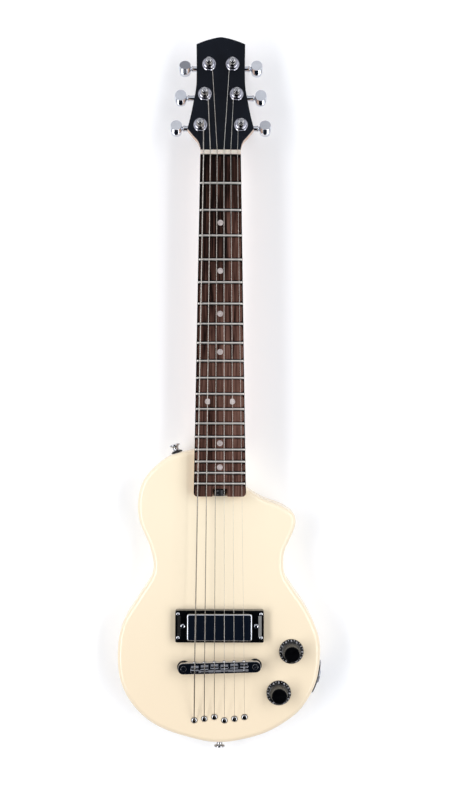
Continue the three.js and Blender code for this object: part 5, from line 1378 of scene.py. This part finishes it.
def make_bridge():
    top = BRIDGE_BASE + BRIDGE_HEIGHT
    length, width = BRIDGE_SIZE
    bar = soft_plate(rounded_rectangle(length, width, BRIDGE_CORNER, 12), BRIDGE_BASE, top, 0.4, 0.7, 4)
    run = span(SADDLE_SIZE[1] + 2 * (SADDLE_TRAVEL + GAP))
    channel = block(span(SADDLE_SPREAD + SADDLE_SIZE[0] + 2 * GAP), run, (BRIDGE_BASE + 2, top + 2))
    studs = [rod(STUD_RADIUS + GAP, BRIDGE_BASE - 2, top + 2, 40).at(x) for x in span(POST_SPREAD)]
    height = BRIDGE_BASE + BRIDGE_HEIGHT / 2 + 0.5
    thread = [(1.0 if k % 2 else 0.82, -width / 2 + GAP + (width - GAP) * k / 22) for k in range(22)]
    spindle = turned([(0, -width / 2 + GAP), *thread, (0, width / 2)], 20)
    head = joined(cross_head(1.9, 1.2).at(0, 0, width / 2), rod(1.2, width / 2 - 1, width / 2 + 0.1, 20))
    screws = []
    for i in range(len(STRING_NAMES)):
        lay = shift(string_across(SADDLE_SPREAD, i), 0, height) @ turn("X", -90)
        screws += [spindle.moved(lay), head.moved(lay)]
    shape = joined(carved(bar, channel, *studs), *screws).moved(BRIDGE)
    place("bridge_bar", shape, "shadowed_chrome", "bridge", ["bridge_body"], crease=16)
    bore = rod(1.35, -6, 6, 24).moved(shift(0, 0, height), turn("X", -90))
    half, crest = SADDLE_SIZE[1] / 2, 0.35
    side_view = [
        (-half, BRIDGE_BASE + 2.3), (half, BRIDGE_BASE + 2.3), (half, top - GAP), (crest, SADDLE_CREST - 0.1),
        (0, SADDLE_CREST), (-crest, SADDLE_CREST - 0.1), (-half, top - GAP),
    ]
    wedge = soft_plate(side_view, *span(SADDLE_SIZE[0]), 0.25, 0.25, 3)
    saddle = carved(wedge.moved(turn("Z", 90), turn("X", 90)), bore)
    for i, name in enumerate(STRING_NAMES):
        shape = saddle.moved(BRIDGE @ shift(string_across(SADDLE_SPREAD, i), SADDLE_OFFSETS[i]))
        place(f"saddle_piece_{name}", shape, "chrome", f"saddle_{name}", [f"saddle_{name}"], crease=16)
    for side, x in zip(SIDES, span(POST_SPREAD)):
        seat = BRIDGE @ shift(x)
        place(
            f"bridge_post_piece_{side}", stud_shape().moved(seat), "shadowed_chrome", f"bridge_stud_{side}",
            [f"bridge_post_{side}"],
        )
        # the thumbwheels are chrome; their black look is a painted dark reflection
        wheel = thumbwheel().moved(seat)
        place(f"bridge_wheel_{side}", wheel, "black_steel", f"bridge_stud_{side}")


def stud_shape():
    top = BRIDGE_BASE + BRIDGE_HEIGHT + 0.5
    side = [(2.6, -18), (STUD_RADIUS, -17.5), (STUD_RADIUS, top - 0.35), (STUD_RADIUS - 0.35, top)]
    slot = block((-4, 4), span(1.1), (top - 1.2, top + 2))
    return carved(turned([(0, -18), *side, (0, top)], 40), slot.moved(turn("Z", 30)))


def thumbwheel():
    knurl = toothed(36, [(0, THUMBWHEEL_RADIUS - 0.35), (0.5, THUMBWHEEL_RADIUS)])
    return carved(soft_plate(knurl, 5, 7.5, 0.35, 0.12, 2), rod(STUD_RADIUS - 0.1, 4, 9, 40))


def make_string_block():
    length, width, thickness = BLOCK_SIZE
    outline = rounded_rectangle(length, width, width / 2 - 0.01, 16)
    bar = soft_plate(outline, GAP, thickness, 0.5, 0, 3).at(0, block_centre())
    top = BODY_DEPTH + FERRULE_RISE
    low, mouth_radius = BODY_DEPTH + GAP, FERRULE_BORE_RADIUS
    angles = [pi / 2 * k / 7 for k in range(7)]
    dome = [(1.5 + (FERRULE_RADIUS - 1.5) * cos(a), low + (FERRULE_RISE - GAP) * sin(a)) for a in angles]
    sleeve = turned([(0, 3), (FERRULE_RADIUS, 3), *dome, (1.6, top), (0, top)], 40)
    bore_radius = mouth_radius - 0.25
    mouth = turned([(0, top - 1), (bore_radius, top - 1), (mouth_radius, top + 0.1), (0, top + 0.5)], 32)
    seat = turned([(0, -1), (2.9, -1), (2.4, 0.8), (2.4, 4.8), (0, 4.8)], 32)
    tools = []
    for i, along in enumerate(FERRULE_PLACES):
        spot = shift(string_across(FERRULE_SPREAD, i), -along)
        bar = joined(bar, sleeve.moved(spot))
        tools += [tool.moved(spot) for tool in (rod(bore_radius, -1, top + 2), mouth, seat)]
    block_shape = carved(bar, *tools)
    place("string_block_piece", block_shape, "shadowed_chrome", stands_for=["string_block"])


# Controls

def numeral(text):
    letters = bpy.data.curves.new("numeral", "FONT")
    letters.body = text
    letters.size = NUMERAL_SIZE
    letters.align_x = "CENTER"
    letters.align_y = "CENTER"
    letters.extrude = NUMERAL_RELIEF
    holder = linked("numeral", letters)
    mesh = evaluated(holder)
    welded = bmesh.new()
    welded.from_mesh(mesh)
    bmesh.ops.remove_doubles(welded, verts=welded.verts, dist=0.002)
    welded.to_mesh(mesh)
    welded.free()
    bpy.data.objects.remove(holder)
    bpy.data.curves.remove(letters)
    return shape_of(mesh)


def knob_grip(low, high):
    """The knob's ridged waist: a slim cone with fine upright ridges, wider at its foot."""
    rings = []
    for k in range(9):
        share = k / 8
        shrink = (KNOB_TOP_RADIUS + 0.3 - KNOB_WAIST_RADIUS) * (1 - (1 - share) ** 1.6)
        ring = []
        for i in range(2 * KNOB_RIDGES):
            radius = KNOB_WAIST_RADIUS + shrink + KNOB_RIDGE * (0.5 - i % 2)
            angle = pi * i / KNOB_RIDGES
            ring.append(Vector((radius * cos(angle), radius * sin(angle), low + (high - low) * share)))
        rings.append(ring)
    return loft(rings)


def make_knob(name, x, y):
    base, top = BODY_DEPTH + GAP, BODY_DEPTH + KNOB_HEIGHT
    waist, crown = KNOB_WAIST_RADIUS, KNOB_TOP_RADIUS
    dial = turned([
        (0, base), (KNOB_RADIUS - 0.2, base), (KNOB_RADIUS, base + 0.2), (KNOB_RADIUS, base + 0.9),
        (12.55, base + 1.25), (waist + 0.5, base + 3.45), (waist + 0.1, base + 3.6),
        (waist - 0.4, base + 3.8), (crown - 0.4, top - 1.4), (crown - 0.4, top - 0.9),
        (crown + 0.1, top - 0.7), (crown + 0.1, top - 0.2), (crown - 0.1, top), (0, top),
    ], 96)
    recess = rod(KNOB_RECESS_RADIUS, base - 2, base + 4)
    shaft = rod(KNOB_SHAFT_RADIUS, BODY_DEPTH - KNOB_SHAFT_REACH, base + 6)
    shape = joined(carved(dial, recess), shaft).at(x, y)
    place(f"{name}_knob_dial", shape, "black_plastic", name, [f"{name}_knob"])
    grip = knob_grip(base + 3.4, top - 0.8).at(x, y)
    place(f"{name}_knob_grip", grip, "knob_grip", name, crease=20)
    tick = block(span(0.5), span(1.1), span(2 * NUMERAL_RELIEF))
    digit_seat = shift(0, 11.2, base + 2.36) @ turn("X", -DIAL_SLOPE)
    tick_seat = shift(0, 11.9, base + 1.78) @ turn("X", -DIAL_SLOPE)
    marks = []
    for number in range(NUMERALS):
        round_to = FIRST_NUMERAL_TURN - NUMERAL_STEP * number
        marks.append(numeral(str(number)).moved(turn("Z", round_to) @ digit_seat))
        if number < NUMERALS - 1:
            marks.append(tick.moved(turn("Z", round_to - NUMERAL_STEP / 2) @ tick_seat))
    place(f"{name}_numerals", marks[0].with_also(*marks[1:]).at(x, y), "numeral_white", name)


def make_controls():
    for name, (x, y) in KNOB_PLACES.items():
        make_knob(name, x, y)
        for slot in frame["nodes"][f"{name}_pot"].material_slots:
            slot.material = LOOKS["steel_plain"]
    top = BACK_RECESS - GLUE_LINE
    lid = soft_plate(capsule(CAVITY_RADIUS + COVER_LIP), top - 2, top, 0.4, 0, 3)
    sink = turned([(0, -1), (2.9, -1), (2.4, top - 2), (1.3, top - 0.9), (0, top - 0.9)], 32)
    places = cover_screw_places()
    lid = carved(lid, *[sink.at(x, y) for x, y in places])
    place("control_cover_lid", lid, "black_plastic", stands_for=["control_cover"])
    for number, (x, y) in enumerate(places):
        screw = cross_screw(2.2, 0.9, COVER_SCREW_RADIUS, 9)
        screw = screw.moved(shift(x, y, 1.5), turn("X", 180), turn("Z", 37 * number))
        place(f"control_cover_screw_{number + 1}", screw, "chrome")


# Output jack

def make_jack():
    point, out = edge_near(*JACK_PLACE)
    along = Vector((-out.y, out.x, 0))
    length, height, thickness = JACK_PLATE_SIZE
    rows = []
    for index in range(25):
        at, facing = edge_near(*(point + along * length * (index / 24 - 0.5)).xy)
        share = abs(index / 12 - 1)
        face = GAP + thickness - 0.5 * max(0, (share - 0.9) / 0.1)
        corner = 3 * max(0, (share - 0.8) / 0.2) ** 2
        low, high = span(height - 2 * corner, BODY_DEPTH / 2)
        rising = [(GAP, low), (face - 0.4, low), (face, low + 0.4)]
        section = rising + [(face, high - 0.4), (face - 0.4, high), (GAP, high)]
        rows.append([Vector((at.x + facing.x * lift, at.y + facing.y * lift, z)) for lift, z in section])
    seat = seat_matrix(point, out)
    sheet = carved(loft(rows), rod(JACK_BARREL_RADIUS + GAP, -2, 8, 40).moved(seat))
    place("jack_plate_piece", sheet, "shadowed_chrome", stands_for=["jack_plate"])
    for number, place_along in enumerate(span(JACK_SCREW_PITCH)):
        at, facing = edge_near(*(point + along * place_along).xy)
        screw = cross_head(2.2, 1.1).moved(shift(0, 0, GAP + thickness), turn("Z", 40))
        place(f"jack_plate_screw_{number + 1}", screw.moved(seat_matrix(at, facing)), "chrome")
    front = 2 * GAP + thickness + 2.4
    rim = front - 0.4
    barrel = rod(JACK_BARREL_RADIUS, -JACK_BARREL_LENGTH, front - 1, 40)
    chamfer = turned([(0, front - 3), (8, front - 3), (8, front - 0.9), (7.3, rim), (0, rim)], 48)
    nut = combined(rod(8 * 2 / sqrt(3) * 0.93, front - 2.4, rim, 6), [chamfer], "INTERSECT")
    collar = rod(5, front - 1, front, 40, 0.25)
    plug = rod(JACK_PLUG_RADIUS, front - JACK_PLUG_DEPTH, front + 1, 40)
    socket = carved(joined(barrel, nut, collar), plug).moved(seat)
    place("jack_socket_piece", socket, "chrome", stands_for=["jack_socket"])


# Truss rod wheel, strap buttons and neck plate

def make_truss_wheel():
    wheel = rod(TRUSS_WHEEL_RADIUS, GAP, GAP + TRUSS_WHEEL_LENGTH, 56, 0.5)
    groove = rod(1.25, TRUSS_WHEEL_RADIUS - 2.8, 9, 24)
    groove = groove.moved(shift(0, 0, GAP + TRUSS_WHEEL_LENGTH / 2), turn("Y", 90))
    grooves = [groove.moved(turn("Z", 15 + 60 * i)) for i in range(6)]
    hub = joined(carved(wheel, *grooves), rod(TRUSS_STUB_RADIUS, 5, TRUSS_STUB_END, 32))
    hub = carved(hub, rod(1.8, -1, 2.2, 6))
    matrix = shift(0, BOARD_END, TRUSS_AXIS) @ turn("X", -90)
    place("truss_rod_wheel_piece", hub.moved(matrix), "black_steel", "truss_wheel", ["truss_rod_wheel"])


def strap_seats():
    shoulder = shoulder_place()
    return [edge_near(shoulder.x, shoulder.y), (Vector((0, -TAIL_LENGTH, 0)), Vector((0, -1, 0)))]


def make_strap_buttons():
    washer_radius, washer_top = STRAP_WASHER
    flange, shank, top = STRAP_FLANGE_RADIUS, STRAP_SCREW_RADIUS, STRAP_HEIGHT
    neck = [(3.1 + 2.0 * (2 * k / 12 - 1) ** 4, washer_top + 0.5 + 5.4 * k / 12) for k in range(13)]
    profile = [
        (0, -16), (0.6, -15), (shank, -12), (shank, 0.5), (4.8, washer_top), *neck,
        (flange - 0.1, top - 1.7), (flange, top - 1.3), (flange, top - 0.8), (flange - 0.4, top - 0.35),
        (4, top), (0, top),
    ]
    felt = turned([
        (0, GAP), (washer_radius - 0.2, GAP), (washer_radius, 0.6), (washer_radius, washer_top - 0.3),
        (washer_radius - 0.3, washer_top), (0, washer_top),
    ], 48)
    washer = carved(felt, rod(4.9, washer_top - 0.2, 3, 32), rod(2.2, -1, 3, 32))
    arms = [block(span(a), span(b), (top - 1.2, 13)) for a, b in ((3.6, 0.8), (0.8, 3.6))]
    ring = carved(rod(3.4, top - 0.4, 13, 40), rod(3.1, top - 1, 14, 40))
    button = carved(turned(profile, 56), ring, *arms)
    for name, (point, out) in zip(("upper", "lower"), strap_seats()):
        seat = seat_matrix(point, out)
        place(
            f"strap_button_piece_{name}", button.moved(seat), "shadowed_chrome",
            stands_for=[f"strap_button_{name}"],
        )
        place(f"strap_washer_{name}", washer.moved(seat), "felt_black")


def make_neck_plate():
    length, width, thickness = NECK_PLATE_SIZE
    low = NECK_PLATE_TOP - thickness
    outline = rounded_rectangle(length, width, NECK_PLATE_CORNER)
    sheet = soft_plate(outline, low, NECK_PLATE_TOP, 0.35, 0, 3)
    bores = [rod(2.4, 0, 6).at(x, y - NECK_PLATE_PLACE) for x, y in neck_bolt_places()]
    sheet = carved(sheet, *bores).at(0, NECK_PLATE_PLACE)
    place("neck_plate_sheet", sheet, "chrome", stands_for=["neck_plate"])
    for number, (x, y) in enumerate(neck_bolt_places()):
        bolt = cross_screw(4, 1.6, NECK_BOLT_RADIUS, NECK_BOLT_LENGTH, 24)
        bolt = bolt.moved(shift(x, y, low), turn("X", 180), turn("Z", 20 + 40 * number))
        place(f"neck_bolt_{number + 1}", bolt, "chrome")


# Studio

def make_camera():
    data = bpy.data.cameras.new("camera")
    data.lens = LENS
    data.clip_end = CAMERA_FAR_END
    camera = linked("camera", data)
    camera.location = Vector(CAMERA_PLACE) * MM
    camera.rotation_euler.z = radians(CAMERA_ROLL)
    bpy.context.scene.camera = camera


def make_floor():
    mesh = bpy.data.meshes.new("floor")
    corners = [(-1, -1), (1, -1), (1, 1), (-1, 1)]
    points = [Vector((x * FLOOR_REACH, y * FLOOR_REACH, FLOOR_HEIGHT)) * MM for x, y in corners]
    mesh.from_pydata(points, [], [(0, 1, 2, 3)])
    look = Look(
        "floor_white", base_color=(0.84, 0.85, 0.87, 1), roughness=0.9, specular_ior_level=0.1,
        emission_color=(1, 1, 1, 1), emission_strength=0.16,
    )
    mesh.materials.append(look.material)
    floor = linked("floor", mesh)


def area_light(name, place_mm, target_mm, size_mm, watts):
    data = bpy.data.lights.new(name, "AREA")
    data.shape = "RECTANGLE"
    data.size, data.size_y = size_mm[0] * MM, size_mm[1] * MM
    data.energy = watts
    light = linked(name, data)
    light.location = Vector(place_mm) * MM
    aim = (Vector(target_mm) - Vector(place_mm)).to_track_quat("-Z", "Y")
    light.rotation_euler = aim.to_euler()


def make_world():
    """A white tent with a dark opening overhead towards the tail, and dim ends."""
    world = bpy.data.worlds.new("studio")
    world.use_nodes = True
    bpy.context.scene.world = world
    graph = Graph(world.node_tree)
    direction = graph.node("TexCoord").outputs["Generated"]
    lean = radians(OPENING_LEAN)
    opening = Vector((0, -sin(lean), cos(lean)))
    towards = graph.node("VectorMath", {0: direction, 1: opening}, operation="DOT_PRODUCT").outputs["Value"]
    tent = graph.ramp(towards, [
        (0.0, (0.9, 0.91, 0.94)), (0.755, (0.86, 0.88, 0.94)), (0.83, (0.014, 0.018, 0.027)),
        (1.0, (0.003, 0.007, 0.016)),
    ])
    _, y, z = graph.split(direction)
    wall = graph.ramp(graph.remap(y, 0, 1, -1, 1), [
        (0.0, (0.4, 0.4, 0.42)), (0.1, (0.45, 0.45, 0.47)), (0.3, (1, 1, 1)), (0.93, (1, 1, 1)),
        (0.98, (0.45, 0.45, 0.48)),
    ])
    dimmed = graph.remap(z, 0.38, 1, 0.1, 0.42)
    mix = graph.node("Mix", {0: 1, 6: tent, 7: wall}, data_type="RGBA", blend_type="MULTIPLY")
    background = graph.tree.nodes["Background"].inputs
    graph.put(mix.outputs[2], background["Color"])
    graph.put(graph.compute("MULTIPLY", dimmed, WORLD_STRENGTH), background["Strength"])


def make_studio():
    make_floor()
    make_world()
    for name, values in LIGHTS.items():
        area_light(name, *values)
    bpy.context.scene.view_settings.view_transform = "Standard"


make_camera()
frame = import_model()
LOOKS = make_looks()
make_studio()
make_body()
make_neck()
make_fretboard()
make_headstock_face()
make_nut()
make_tuners()
make_strings()
make_pickup()
make_pickup_ring()
make_bridge()
make_string_block()
make_controls()
make_jack()
make_truss_wheel()
make_strap_buttons()
make_neck_plate()

bpy.context.view_layer.update()
